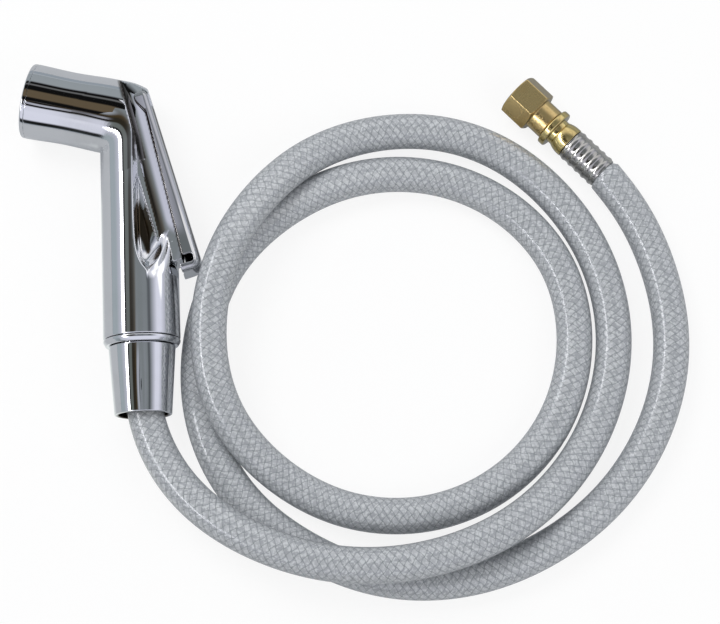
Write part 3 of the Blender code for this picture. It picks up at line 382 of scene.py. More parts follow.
def mix_shader(share, first, second):
    return add_node(first.id_data, "MixShader", {0: share, 1: first, 2: second})[0]


def show(shader, kind="OutputMaterial"):
    add_node(shader.id_data, kind, {"Surface": shader})


def empty_tree(owner):
    owner.use_nodes = True
    owner.node_tree.nodes.clear()
    return owner.node_tree


# Studio


def white_to_camera(plain, seen_by_camera, seen_in_metal):
    """Mixes a plain shader with what the camera sees and what metal and clear plastic reflect."""
    path = add_node(plain.id_data, "LightPath")
    mirror = maths("MAXIMUM", path["Is Glossy Ray"], path["Is Transmission Ray"])
    metal = mix_shader(mirror, plain, seen_in_metal)
    return mix_shader(path["Is Camera Ray"], metal, seen_by_camera)


def make_world():
    """Soft even light. Metal sees a room with a ramp of light and dark bands on each of its four
    sides, by the angle from straight up, and a narrow bright strip on its -X side."""
    world = bpy.data.worlds.new("studio")
    bpy.context.scene.world = world
    tree = empty_tree(world)
    x, y, z = split(add_node(tree, "TexCoord")["Generated"])
    from_zenith = maths("ARCCOSINE", z)
    share = maths("DIVIDE", from_zenith, math.radians(90.0))
    white = (1.0, 1.0, 1.03)
    lavender = (0.80, 0.81, 0.92)
    pale = (0.55, 0.56, 0.64)
    brown = (0.075, 0.052, 0.026)
    grey_green = (0.15, 0.165, 0.157)
    mid = (0.265, 0.285, 0.31)
    blue_grey = (0.34, 0.38, 0.42)
    sky = (0.39, 0.44, 0.47)
    dark = (0.10, 0.11, 0.12)
    dim = (0.22, 0.242, 0.252)
    soft_black = (0.03, 0.025, 0.017)
    sides = (
        (
            x, "MINIMUM", (0, mid), (5, mid), (6, dark), (8, mid), (11, pale), (15, mid),
            (18, brown), (23, soft_black), (30, soft_black), (33, grey_green), (41, grey_green),
            (43, BLACK), (45, BLACK), (49, white), (53, white), (60, pale), (73, sky), (90, sky),
        ),
        (
            x, "MAXIMUM", (0, mid), (8, dim), (16, mid), (25, dim), (29, dark), (32, dark),
            (37, mid), (46, pale), (54, lavender), (66, lavender), (78, pale), (90, blue_grey),
        ),
        (
            y, "MINIMUM", (0, mid), (14, mid), (17, BLACK), (21, BLACK), (23, pale), (26, pale),
            (28, BLACK), (31, BLACK), (34, lavender), (74, lavender), (79, BLACK), (87, BLACK),
            (90, blue_grey),
        ),
        (
            y, "MAXIMUM", (0, mid), (10, dim), (20, dim), (28, mid), (36, pale), (42, white),
            (72, white), (80, blue_grey), (90, blue_grey),
        ),
    )
    level = maths("ADD", maths("POWER", x, 4.0), maths("POWER", y, 4.0))
    level = maths("MAXIMUM", level, 1e-6)
    total = None
    for axis, limit, *bands in sides:
        weight = maths("DIVIDE", maths("POWER", maths(limit, axis, 0.0), 4.0), level)
        colour = ramp(share, [(degrees / 90.0, colour) for degrees, colour in bands])
        side = mix_colour(1.0, colour, weight, "MULTIPLY")
        total = side if total is None else mix_colour(1.0, total, side, "ADD")

    off = maths("ABSOLUTE", minus(from_zenith, STRIP_ANGLE))
    strip = minus(1.0, fade(off, *STRIP_FADE))
    strip = times(strip, fade(times(x, -1.0), 0.4, 0.75))
    power = maths("MULTIPLY_ADD", strip, STRIP_GAIN, 1.0)
    plain = glow(tree, (0.97, 0.98, 1.0), ROOM_LIGHT, "Background")
    seen = glow(tree, WHITE, 1.0, "Background")
    room = glow(tree, total, power, "Background")
    show(white_to_camera(plain, seen, room), "OutputWorld")


def make_card(name, corners, height):
    """A flat sheet. Returns it and the place on it, in its empty node tree."""
    points = [(x * MM, y * MM, 0.0) for x, y in corners]
    card = add_mesh(name, points, [tuple(range(len(corners)))])
    card.location.z = height * MM
    material = bpy.data.materials.new(name)
    card.data.materials.append(material)
    return card, object_place(empty_tree(material))


def make_floor():
    """White to the camera. What reflects it sees a painted reflection: darker, but for a paler
    painted patch left of the handle.
    """
    reach = 3000.0
    corners = ((-reach, -reach), (reach, -reach), (reach, reach), (-reach, reach))
    floor, place = make_card("floor", corners, -0.2)
    tree = place.id_data
    x, y, _ = split(place)
    # Painted reflection: a paler patch left of the handle and darker grey elsewhere, seen only in
    # reflections.
    near = times(fade(x, -0.028, -0.002), fade(y, 0.028, 0.016))
    near = times(near, remap(x, 0.020, 0.010))
    sheen = mix_colour(near, (0.35, 0.37, 0.40), (0.85, 0.90, 0.88))
    paper = add_node(tree, "BsdfDiffuse", {"Color": PAPER})[0]
    lit = mix_shader(0.86, paper, glow(tree, WHITE))
    mirrored = mix_shader(0.7, paper, glow(tree, sheen))
    show(white_to_camera(paper, lit, mirrored))


def make_board(name, corners, height):
    """A glowing card over the handset, seen only in its chrome as a painted reflection. Returns
    the place on it, its X and Y.
    """
    board, place = make_card(name, corners, height)
    board.visible_camera = board.visible_diffuse = False
    board.visible_shadow = board.visible_transmission = False
    x, y, _ = split(place)
    return place, x, y


def make_dark_board():
    """Close over the spray head: a painted dark reflection, brown between black edges, and grey
    beyond.
    """
    corners = (
        (-46.0, 54.5), (-8.0, 46.4), (-1.0, 50.9), (1.0, 56.0), (6.0, 56.5), (8.0, 60.7),
        (4.0, 68.0), (25.0, 68.0), (25.0, 135.0), (-60.0, 135.0), (-60.0, 57.5),
    )
    place, x, y = make_board("dark_board", corners, DARK_BOARD_Z)
    run = maths("MULTIPLY_ADD", x, 0.213, y)
    run = maths("MULTIPLY_ADD", noise(place, 30.0, 1.0, 0.4), 0.002, run)
    brown = (0.13, 0.098, 0.06)
    line = (0.16, 0.16, 0.16)
    stops = (
        (0.0, BLACK), (0.033, BLACK), (0.05, brown), (0.133, brown), (0.15, BLACK), (0.213, BLACK),
        (0.23, line), (0.24, line), (0.257, BLACK), (0.29, BLACK), (0.33, (0.34, 0.37, 0.39)),
        (1.0, (0.33, 0.365, 0.385)),
    )
    show(glow(place.id_data, ramp(remap(run, 0.0457, 0.1337), stops)))


def light_up(share, colour):
    """Gives a board its light where the share is 1, and leaves it clear where the share is 0."""
    tree = share.id_data
    clear = add_node(tree, "BsdfTransparent")[0]
    show(mix_shader(share, clear, glow(tree, colour)))


def make_pale_board():
    """Over the tongue: a painted reflection of a soft light stripe along it."""
    corners = ((-3.0, 80.0), (27.0, 80.0), (44.0, 8.0), (15.0, 8.0))
    _, x, y = make_board("pale_board", corners, LIGHT_BOARD_Z)
    off = maths("ABSOLUTE", minus(x, maths("MULTIPLY_ADD", y, -0.255, 0.0321)))
    share = times(fade(off, 0.0125, 0.003), fade(y, 0.009, 0.016))
    light_up(share, (0.62, 0.63, 0.73))


def make_white_board():
    """Beside the tongue's lower end: a painted highlight, a bright patch on the shoulder below it.
    """
    corners = ((44.0, -12.0), (130.0, -12.0), (130.0, 50.0), (44.0, 50.0))
    _, x, y = make_board("white_board", corners, LIGHT_BOARD_Z)
    off_x = maths("DIVIDE", minus(x, 0.086), 0.042)
    off_y = maths("DIVIDE", minus(y, 0.018), 0.030)
    off = maths("ADD", times(off_x, off_x), times(off_y, off_y))
    light_up(fade(off, 1.0, 0.6), (1.3, 1.3, 1.32))


def make_lamp(name, place, aim, size, power):
    data = bpy.data.lights.new(name, "AREA")
    data.shape = "DISK"
    data.size = size
    data.energy = power
    lamp = add_object(name, data)
    lamp.location = place
    lamp.rotation_euler = (Vector(aim) - Vector(place)).to_track_quat("-Z", "Y").to_euler()
    lamp.visible_glossy = False


bpy.context.scene.view_settings.view_transform = "Standard"
make_world()
make_floor()
make_dark_board()
make_pale_board()
make_white_board()
make_lamp("key_lamp", (-0.5, 0.5, 1.2), (0.1, 0.0, 0.0), 0.8, 9.0)
make_lamp("fill_lamp", (0.9, -0.5, 0.9), (0.1, 0.0, 0.0), 0.9, 3.5)


# Finishes


def new_group(name, inputs, outputs):
    """A node group with float sockets. Returns it, the outputs inside it and its last node."""
    group = bpy.data.node_groups.new(name, "ShaderNodeTree")
    for way, names in (("INPUT", inputs), ("OUTPUT", outputs)):
        for key in names:
            group.interface.new_socket(key, in_out=way, socket_type="NodeSocketFloat")
    inside = group.nodes.new("NodeGroupInput").outputs
    return group, inside, group.nodes.new("NodeGroupOutput")


def wear_group():
    """Finger smudges and fine wipe marks as a mask, and a slow unevenness as a height."""
    group, inside, outside = new_group("wear", ("Scale",), ("Smudge", "Height"))
    place = object_place(group)
    scale = inside["Scale"]
    blotch = noise(place, scale, 3.0, 0.55)
    fine = noise(place, times(scale, 12.0), 2.0, 0.6)
    smudge = times(fade(blotch, 0.45, 0.75), remap(fine, 0.3, 0.7, 0.5, 1.0))
    feed(outside, {"Smudge": smudge, "Height": noise(place, times(scale, 1.7), 1.0, 0.4)})
    return group


def braid_group():
    """Two sets of threads wound either way round a tube, passing over and under each other.

    U runs once round the tube and V along it, in circumferences. Puts out the threads' mask, which
    set is on top and the height."""
    group, inside, outside = new_group("braid", ("Threads", "Width"), ("Thread", "Top", "Height"))
    u, v, _ = split(add_node(group, "TexCoord")["UV"])
    u = times(u, inside["Threads"])
    v = times(v, times(inside["Threads"], BRAID_SLANT))
    heights, floors = [], []
    for operation in ("ADD", "SUBTRACT"):
        wound = maths(operation, u, v)
        floors.append(maths("FLOOR", wound))
        off = maths("ABSOLUTE", minus(maths("FRACT", wound), 0.5))
        reach = maths("DIVIDE", off, inside["Width"])
        heights.append(maths("MAXIMUM", minus(1.0, times(reach, reach)), 0.0))
    parity = times(maths("FRACT", times(maths("ADD", *floors), 0.5)), 2.0)
    lift = maths("MULTIPLY_ADD", parity, 0.8, 0.2)
    first = times(heights[0], lift)
    second = times(heights[1], minus(1.2, lift))
    height = maths("MAXIMUM", first, second)
    thread = fade(height, 0.05, 0.45)
    top = maths("GREATER_THAN", first, second)
    feed(outside, {"Thread": thread, "Top": top, "Height": height})
    return group


WEAR = wear_group()
BRAID = braid_group()


def wear_on(tree, scale):
    return add_node(tree, "Group", {"Scale": scale}, node_tree=WEAR)


def facing(tree, blend):
    return add_node(tree, "LayerWeight", {"Blend": blend})["Facing"]


def finish(name, look, *settings):
    """A material whose Principled shader gets the values that the look works out."""
    material = bpy.data.materials.new(name)
    material.use_nodes = True
    tree = material.node_tree
    feed(tree.nodes["Principled BSDF"], look(tree, *settings))
    return material


def chrome(tree):
    """Bright plate: faint unevenness, a little handling haze, and painted shade that darkens it in
    its recesses, gaps and along edges.
    """
    smudge, slow = wear_on(tree, 38.0)
    # Painted shade: how much darker each point's chrome is painted, as stored on its mesh.
    recess = add_node(tree, "Attribute", attribute_name="recess")["Fac"]
    plate = mix_colour(smudge, (0.80, 0.81, 0.83), (0.74, 0.75, 0.76))
    return {
        "Base Color": mix_colour(recess, plate, (0.055, 0.042, 0.028)),
        "Metallic": 1.0,
        "Roughness": remap(smudge, 0.0, 1.0, 0.03, 0.06),
        "Normal": bump(slow, 0.05, 0.0008),
    }


def brass(tree, ring_scale, colour, dark, roughness):
    """Turned brass, a little dulled: fine tool rings along the fitting's axis, stains, and a
    painted dark reflection that darkens it at a slant."""
    smudge, _ = wear_on(tree, 90.0)
    ways = {0: object_place(tree), 1: (*INLET_WAY,)}
    along = add_node(tree, "VectorMath", ways, operation="DOT_PRODUCT")[1]
    rings = add_node(tree, "CombineXYZ", {0: times(along, ring_scale)})[0]
    rings = noise(rings, 1.0, 3.0, 0.7)
    # Painted dark reflection: darker where the surface turns away from the camera.
    slant = remap(facing(tree, 0.5), 0.25, 0.85, 0.0, 0.85)
    return {
        "Base Color": mix_colour(slant, mix_colour(smudge, colour, dark), (0.13, 0.115, 0.05)),
        "Metallic": 1.0,
        "Roughness": remap(maths("ADD", smudge, rings), 0.3, 1.6, roughness, roughness + 0.16),
        "Normal": bump(rings, 0.25, 0.0001),
    }


def steel(tree):
    """Pressed sheet with drawing marks."""
    smudge, slow = wear_on(tree, 120.0)
    return {
        "Base Color": mix_colour(smudge, (0.50, 0.49, 0.46), (0.30, 0.29, 0.27)),
        "Metallic": 1.0,
        "Roughness": remap(slow, 0.3, 0.7, 0.14, 0.26),
    }


def plain(tree, colour, dark, roughness, grain):
    """Moulded plastic or rubber: a slight mottle and a fine grain."""
    smudge, _ = wear_on(tree, 60.0)
    return {
        "Base Color": mix_colour(smudge, colour, dark),
        "Roughness": remap(smudge, 0.0, 1.0, roughness, roughness + 0.12),
        "Normal": bump(noise(object_place(tree), 2600.0, 2.0, 0.6), grain, 0.00005),
    }


def clear_braid(tree):
    """Clear vinyl over a grey-white braid: the braid is in the colour and the skin is a coat."""
    threads = {"Threads": BRAID_THREADS, "Width": BRAID_WIDTH}
    braid = add_node(tree, "Group", threads, node_tree=BRAID)
    _, slow = wear_on(tree, 45.0)
    flecks = fade(noise(object_place(tree), 900.0, 1.0, 0.5), 0.42, 0.66)
    # Painted light: one set of threads is painted lighter than the other, as if light caught them
    # differently.
    thread = mix_colour(braid["Top"], (0.415, 0.43, 0.455), (0.345, 0.36, 0.385))
    thread = mix_colour(flecks, thread, (0.55, 0.57, 0.59))
    gap = mix_colour(slow, (0.22, 0.24, 0.25), (0.30, 0.32, 0.335))
    # Painted shade: the hose is painted darker where it turns away from the camera, towards its
    # sides.
    slant = remap(facing(tree, 0.35), 0.3, 1.0, 0.0, 0.55)
    colour = mix_colour(braid["Thread"], gap, thread)
    return {
        "Base Color": mix_colour(slant, colour, (0.14, 0.16, 0.16)),
        "Roughness": remap(braid["Height"], 0.0, 1.0, 0.5, 0.35),
        "Specular IOR Level": 0.35,
        "Coat Weight": 0.9,
        "Coat Roughness": 0.18,
        "Coat IOR": 1.5,
        "Normal": bump(braid["Height"], 0.5, 0.0002),
    }


CHROME = finish("chrome_plate", chrome)
BRASS = finish("turned_brass", brass, 6000.0, (0.86, 0.70, 0.31), (0.52, 0.38, 0.16), 0.12)
DULL_BRASS = finish("drawn_brass", brass, 2500.0, (0.84, 0.63, 0.29), (0.60, 0.43, 0.18), 0.22)
STEEL = finish("pressed_steel", steel)
RUBBER = finish("black_rubber", plain, (0.028, 0.028, 0.03), (0.05, 0.05, 0.05), 0.5, 0.4)
WHITE_PLASTIC = finish("white_plastic", plain, (0.78, 0.78, 0.76), (0.70, 0.69, 0.66), 0.35, 0.15)
VINYL = finish("braided_vinyl", clear_braid)


# Rounded solids from fields. A field is below 0 inside; edges are rounded where two fields meet.


def clamp(values):
    return np.clip(values, 0.0, 1.0)


def both(a, b, edge):
    """Inside both, with its edge rounded to a radius."""
    reach = np.hypot(np.maximum(a + edge, 0.0), np.maximum(b + edge, 0.0))
    return np.minimum(-edge, np.maximum(a, b)) + reach


def either(a, b, fillet):
    """Inside either, with a fillet where they meet."""
    return -both(-a, -b, fillet)


def without(a, b, edge):
    return both(a, -b, edge)


def outline_field(x, y, points):
    """Signed distance to a closed outline, negative inside."""
    nearest = np.full(x.shape, 1e9, x.dtype)
    inside = np.zeros(x.shape, bool)
    for (ax, ay), (bx, by) in zip(points, points[1:] + points[:1]):
        ex, ey = bx - ax, by - ay
        wx, wy = x - ax, y - ay
        share = clamp((wx * ex + wy * ey) / (ex * ex + ey * ey))
        nearest = np.minimum(nearest, (wx - ex * share) ** 2 + (wy - ey * share) ** 2)
        if ay != by:
            crosses = ((ay > y) != (by > y)) & (x < ex * (y - ay) / ey + ax)
            inside ^= crosses
    return np.sqrt(nearest) * np.where(inside, -1.0, 1.0)


def field_mesh(name, field, low, high, step, matrix):
    """The surface where the field is 0, as an even net of quads laid on it, in the world."""
    axes = [np.arange(a, b + step, step, dtype=np.float64) for a, b in zip(low, high)]
    slabs = []
    for start in range(0, len(axes[0]), SLAB):
        grid = np.meshgrid(axes[0][start : start + SLAB], axes[1], axes[2], indexing="ij")
        slabs.append(field(*grid).astype(np.float32))
    values = np.concatenate(slabs)
    inside = values < 0.0
    shape = values.shape
    strides = np.array((shape[1] * shape[2], shape[2], 1))
    cell_sum = np.zeros((values.size, 3))
    cell_count = np.zeros(values.size)
    inner = (slice(1, -1),) * 3
    quads = []
    for axis in range(3):
        mask = np.zeros(shape, bool)
        mask[inner] = (inside != np.roll(inside, -1, axis))[inner]
        start = np.argwhere(mask)
        flat = start @ strides
        here = values.reshape(-1)[flat]
        there = values.reshape(-1)[flat + strides[axis]]
        point = start.astype(float)
        point[:, axis] += here / (here - there)
        u, v = [other for other in range(3) if other != axis]
        cells = []
        for du, dv in ((0, 0), (1, 0), (1, 1), (0, 1)):
            cell = flat - du * strides[u] - dv * strides[v]
            for k in range(3):
                cell_sum[:, k] += np.bincount(cell, point[:, k], values.size)
            cell_count += np.bincount(cell, minlength=values.size)
            cells.append(cell)
        quad = np.stack(cells, axis=1)
        flip = ~inside.reshape(-1)[flat] ^ (axis == 1)
        quad[flip] = quad[flip][:, ::-1]
        quads.append(quad)
    used = np.flatnonzero(cell_count)
    points = cell_sum[used] / cell_count[used][:, None] * step + np.array(low)
    number = np.zeros(values.size, np.int64)
    number[used] = np.arange(len(used))
    faces = number[np.concatenate(quads)]

    def slope(where):
        probes = PROBE * np.eye(3)
        rises = [field(*(where + way).T) - field(*(where - way).T) for way in probes]
        return np.stack(rises, axis=1) / (2 * PROBE)

    for _ in range(4):
        way = slope(points)
        size = np.maximum((way**2).sum(axis=1), 0.05)
        move = (field(*points.T) / size)[:, None] * way
        points = points - np.clip(move, -0.5 * step, 0.5 * step)
    normals = slope(points)
    normals /= np.maximum(np.linalg.norm(normals, axis=1), 1e-6)[:, None]

    turn = np.array(matrix)
    world = points @ turn[:3, :3].T + turn[:3, 3]
    obj = add_mesh(name, world.tolist(), faces.tolist())
    obj.data.update()
    obj.data.shade_smooth()
    way = normals @ turn[:3, :3].T
    way /= np.linalg.norm(way, axis=1)[:, None]
    obj.data.normals_split_custom_set_from_vertices(way.tolist())
    return obj


def local_places(obj, matrix):
    """The mesh's points in millimetres in the given frame, one row for each axis."""
    places = np.empty(3 * len(obj.data.vertices))
    obj.data.vertices.foreach_get("co", places)
    turn = np.array(matrix.inverted())
    return (places.reshape(-1, 3) @ turn[:3, :3].T + turn[:3, 3]).T


def store_painted_shade(obj, marks):
    """Stores the painted shade of each point, from 0 to 1, by how deep in a recess or gap it lies.
    The chrome is painted darker there.
    """
    layer = obj.data.attributes.new("recess", "FLOAT", "POINT")
    layer.data.foreach_set("value", marks.astype(np.float32))


def finish_piece(obj, material, body, slot, *nodes):
    """Material, body, finish slot (not used) and the CAD nodes that the piece stands for."""
    obj.data.materials.append(material)
    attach(obj, body)
    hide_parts(*nodes)
    return obj


# Handle


def lever_axes(x, z):
    """Distance down the lever and depth in from its back."""
    dx, dz = x - LEVER_TOP[0], z - LEVER_TOP[1]
    along = dx * LEVER_SIN - dz * LEVER_COS
    depth = -dx * LEVER_COS - dz * LEVER_SIN
    return along, depth


def tongue_depth(along):
    return LEVER_WEB_T + LEVER_SQUEEZE * (along - PIVOT_DROP) + SWING_GAP


def side_depth(along):
    share = (along - WEB_START) / (LEVER_END - WEB_START)
    return LEVER_SIDE_TOP + (LEVER_SIDE_LOW - LEVER_SIDE_TOP) * share


BEND_CENTRE = (-BEND_R, ELBOW_Z - BEND_R * math.tan(HEAD_TURN / 2))


def head_axes(dx, dz):
    """How far along the head's axis and how far aside from it."""
    return dx * HEAD_WAY.x + dz * HEAD_WAY.z, dx * HEAD_WAY.z - dz * HEAD_WAY.x


def sharp_skin(x, y, z):
    """Outside of handle, bend and barrel, with a crease inside the bend."""
    dx, dz = x - BEND_CENTRE[0], z - BEND_CENTRE[1]
    turn = np.arctan2(dz, dx)
    bend = np.hypot(np.hypot(dx, dz) - BEND_R, y) - HANDLE_R
    handle = np.hypot(x, y) - HANDLE_R
    out, aside = head_axes(dx, dz)
    barrel_len = HEAD_LEN - BEND_R * math.tan(HEAD_TURN / 2)
    waist = np.sin(math.pi * clamp((out - 5.0) / (barrel_len - 5.0))) ** 2
    barrel = np.hypot(aside - BEND_R, y) - HEAD_R + (HEAD_R - HEAD_NECK_R) * waist
    handle = np.where(dz <= 0.0, handle, FAR)
    barrel = np.where(out >= 0.0, barrel, FAR)
    return np.where((turn >= 0.0) & (turn <= HEAD_TURN), bend, np.minimum(handle, barrel))


def skin_field(x, y, z):
    """The outside, smoothed across the bend's middle plane so that its two tubes flow together."""
    reach = np.hypot(x - BEND_CENTRE[0], z - BEND_CENTRE[1])
    near = clamp(1.0 - reach / CROTCH_REACH)
    flank = clamp(np.abs(y) / HANDLE_R) ** 2
    spread = CROTCH_SPREAD + (CROTCH_FLANK_SPREAD - CROTCH_SPREAD) * flank
    spread = spread * np.minimum(2.2 * near**2 * (3.0 - 2.0 * near), 1.0)
    total = weights = 0.0
    for place in np.linspace(-0.9, 0.9, 12):
        weight = (1.0 - place**2) ** 2
        step = spread * place
        total = total + weight * sharp_skin(
            x - step * math.sin(HEAD_TURN / 2), y, z + step * math.cos(HEAD_TURN / 2)
        )
        weights += weight
    return total / weights


TABLE_Z = np.arange(0.0, 130.0, 0.1)


def soften(raw, spread):
    """A table against TABLE_Z with its corners smoothed away."""
    count = int(3 * spread / 0.1)
    offsets = np.arange(-count, count + 1) * 0.1
    weights = np.exp(-0.5 * (offsets / spread) ** 2)
    return np.convolve(np.pad(raw, count, mode="edge"), weights / weights.sum(), mode="valid")


def scoop_tables():
    """Front edge, back edge and floor of the scoop against height."""
    heights, fronts, backs, floors = np.array(SCOOP_END).T
    line = SCOOP_TOP[0] + (SCOOP_LOW[0] - SCOOP_TOP[0]) * (
        (SCOOP_TOP[1] - TABLE_Z) / (SCOOP_TOP[1] - SCOOP_LOW[1])
    )
    back = np.where(TABLE_Z > heights[-1], line, np.interp(TABLE_Z, heights, backs))
    front = np.interp(TABLE_Z, heights, fronts)
    front = np.where(TABLE_Z > SCOOP_APEX_Z, line - 0.05, np.minimum(front, back - 0.05))
    floor = np.interp(TABLE_Z, heights, floors)
    floor = np.where(TABLE_Z < heights[0], strip_height(TABLE_Z), floor)
    return soften(front, 0.7), soften(back, 0.9), soften(floor, 0.7)


def down_shoulder(z):
    return clamp((SHOULDER_TOP - z) / (SHOULDER_TOP - SHOULDER_LOW))


def strip_height(z):
    share = down_shoulder(z)
    return TONGUE_HALF + SHOULDER_RISE * share**2 * (3.0 - 2.0 * share)


SCOOP_FRONT, SCOOP_BACK, SCOOP_FLOOR = scoop_tables()


def strip_crown(x, z):
    """Rise of the tongue's side between its two edges."""
    back = np.interp(z, TABLE_Z, SCOOP_BACK)
    place = (x - back - STRIP_HALF) / STRIP_HALF
    return TONGUE_CROWN * np.maximum(1.0 - place**2, -0.5)


def lower_of(a, b, blend):
    """The smaller of two values, with the change from one to the other smoothed."""
    share = clamp(0.5 + 0.5 * (b - a) / blend)
    return a * share + b * (1.0 - share) - blend * share * (1.0 - share)


def scoop_field(x, y, z):
    """What is hollowed from the round handle: the tongue's side, the scoop in front of it with its
    round lower end, and the shoulder that swells out below."""
    across = np.abs(y)
    front = np.interp(z, TABLE_Z, SCOOP_FRONT)
    back = np.interp(z, TABLE_Z, SCOOP_BACK)
    floor = np.minimum(np.interp(z, TABLE_Z, SCOOP_FLOOR), strip_height(z))
    strip = strip_height(z) + strip_crown(x, z)
    share = np.clip(1.0 - (back - x) / SLOPE_RUN, 0.0, 1.4)
    slope = floor + (strip - floor + 0.01) * share**1.5
    slant = 1.5 * (strip - floor) / SLOPE_RUN * np.sqrt(share)
    slant = np.where(share < 1.0, slant, 0.0)
    depth = (lower_of(slope, strip, 1.1) - across) / np.hypot(1.0, slant)
    rim = np.sqrt(np.maximum(HANDLE_R**2 - front**2, 0.0))
    draft = SCOOP_DRAFT * clamp((SCOOP_APEX_Z - z) / 12.0)
    wall = front + draft * (rim - across) - x
    return both(depth, wall, np.clip((back - front) * 0.12, 0.3, 0.9))


def handle_field(x, y, z):
    along, depth = lever_axes(x, z)
    solid = both(skin_field(x, y, z), -z, BASE_EDGE)
    out, aside = head_axes(x, z - ELBOW_Z)
    solid = both(solid, out - (HEAD_LEN - BEZEL_T - SEAT_GAP), 0.1)
    shoulder = down_shoulder(z)
    beside = clamp((x - np.interp(z, TABLE_Z, SCOOP_BACK)) / 2.5)
    swell = 4.0 * shoulder * (1.0 - shoulder)
    lip = 0.35 + 0.35 * clamp((SCOOP_APEX_Z - z) / 20.0)
    solid = without(solid, scoop_field(x, y, z), lip + SHOULDER_EDGE * swell * beside)

    end = LOW_SIDE - SWING_GAP
    block = [
        (BLOCK_TOP, BLOCK_BACK), (end, BLOCK_BACK), (end, BLOCK_FRONT), (BLOCK_TOP, BLOCK_FRONT)
    ]
    sides = np.abs(y) - TONGUE_HALF - strip_crown(x, z)
    solid = np.minimum(solid, both(outline_field(along, depth, block), sides, 0.4))

    start = WEB_START - SWING_GAP
    low = LEVER_LEN + 5.0
    behind = [
        (-0.6, CLEAR), (-0.6, 0.0), (start, 0.0), (start, tongue_depth(start)),
        (low, tongue_depth(low)), (low, CLEAR),
    ]
    solid = without(solid, outline_field(along, depth, behind), 0.4)

    end = LEVER_LEN + SWING_GAP
    slot = []
    for place in (SLOT_TOP, end):
        swing = LEVER_SQUEEZE * (place - PIVOT_DROP)
        slot.append((place, side_depth(place) + swing + SWING_GAP))
    slot += [(end, CLEAR), (SLOT_TOP, CLEAR)]
    near = TONGUE_HALF + 0.3 + 0.4 * clamp((z - 41.0) / 2.0)
    beside = np.maximum(near - np.abs(y), np.abs(y) - LEVER_HALF - SWING_GAP)
    solid = without(solid, np.maximum(outline_field(along, depth, slot), beside), 0.15)

    valve_r = np.hypot(along - VALVE_ALONG, y)
    valve_depth = depth - tongue_depth(VALVE_ALONG)
    valve = np.maximum(valve_r - GLAND_BORE_R, valve_depth - SEAT_SHELF)
    valve = np.minimum(valve, np.maximum(valve_r - CHAMBER_R, valve_depth - CHAMBER_END))
    solid = without(solid, valve, 0.3)
    pin_r = np.hypot(along - PIVOT_DROP, depth - EAR_R)
    solid = without(solid, pin_r - PIN_R - RUN_GAP, 0.1)

    face_depth = HEAD_LEN - out
    face_r = np.hypot(aside, y)
    bore = np.maximum(face_r - SKIRT_R - SEAT_GAP, face_depth - HEAD_LEDGE)
    chamber = np.maximum(face_r - HEAD_CHAMBER_R, face_depth - HEAD_CHAMBER_END)
    solid = without(solid, np.minimum(bore, chamber), 0.2)

    spigot = both(np.hypot(x, y) - SPIGOT_R, -z - SPIGOT_LEN, 0.6)
    spigot = np.maximum(spigot, z - 1.0)
    solid = np.minimum(solid, spigot)
    return np.maximum(solid, -np.maximum(np.hypot(x, y) - SPIGOT_BORE_R, z - 14.0))


def make_handle():
    step = 0.45
    low, high = (-55.0, -17.1, -11.7), (18.0, 17.1, 124.0)
    shell = field_mesh("handle_shell", handle_field, low, high, step, HANDSET)
    paint_recess_shade(shell)
    finish_piece(shell, CHROME, "handset", "chrome", "handle_body")


def paint_recess_shade(shell):
    """Paints shade on the points that lie deep: in a scoop, at its front wall, beside the lever
    and along the tongue's edge."""
    x, y, z = local_places(shell, HANDSET)
    across = np.abs(y)
    deep = clamp(0.4 - outline_field(x, z, DEEP) / 0.6)
    deep *= (across > 4.5) & (across < TONGUE_HALF + 0.6)
    front = np.interp(z, TABLE_Z, SCOOP_FRONT)
    rim = np.sqrt(np.maximum(HANDLE_R**2 - front**2, 0.0))
    wall = clamp((1.2 - np.abs(x - front)) / 0.8) * (across > TONGUE_HALF - 0.3)
    wall *= clamp((rim - 0.1 - across) / 0.4) * (z > SCOOP_APEX_Z - 12.0)
    along, depth = lever_axes(x, z)
    below = depth - side_depth(along)
    gap = clamp((0.75 - below) / 0.2) * (below > -1.0) * (across < TONGUE_HALF + 0.8)
    gap *= (across > TONGUE_HALF - 0.5) & (along > 8.0) & (along < LEVER_END)
    back = np.interp(z, TABLE_Z, SCOOP_BACK)
    seam = clamp((1.0 - (x - back)) / 0.6) * clamp((x - back + 0.4) / 0.3)
    seam *= (np.abs(across - TONGUE_HALF) < 0.6) * clamp((z - 46.0) / 6.0)
    # Painted shade: scoop floor, its front wall, the gap beside the lever and the tongue's seam.
    marks = (deep, 0.9 * wall, 0.85 * gap, 0.65 * seam)
    store_painted_shade(shell, np.max(marks, axis=0))


# Lever


def lever_outlines():
    """Outlines of the lever's back, open to the front, and of its front, open to the back."""
    angles = [math.radians(degrees) for degrees in range(0, 91, 10)]
    back = [(PIVOT_DROP - EAR_R, FAR)]
    front = [(PIVOT_DROP - EAR_R, -FAR)]
    for angle in angles:
        along = PIVOT_DROP - EAR_R * math.cos(angle)
        back.append((along, EAR_R - EAR_R * math.sin(angle)))
        front.append((along, EAR_R + EAR_R * math.sin(angle)))
    for angle in angles:
        along = LEVER_LEN - LEVER_TOE + LEVER_TOE * math.sin(angle)
        back.append((along, LEVER_TOE * (1.0 - math.cos(angle))))
    back.append((LEVER_LEN, FAR))
    front += [
        (PIVOT_DROP + 1.6, 2 * EAR_R - 0.4),
        (WEB_START + 1.5, side_depth(WEB_START + 1.5)),
        (LOW_SIDE, side_depth(LOW_SIDE)),
        (LEVER_END - 0.5, LEVER_END_DEPTH),
        (LEVER_LEN + 5.0, LEVER_END_DEPTH),
        (LEVER_LEN + 5.0, -FAR),
    ]
    return back, front


LEVER_BACK, LEVER_FRONT = lever_outlines()


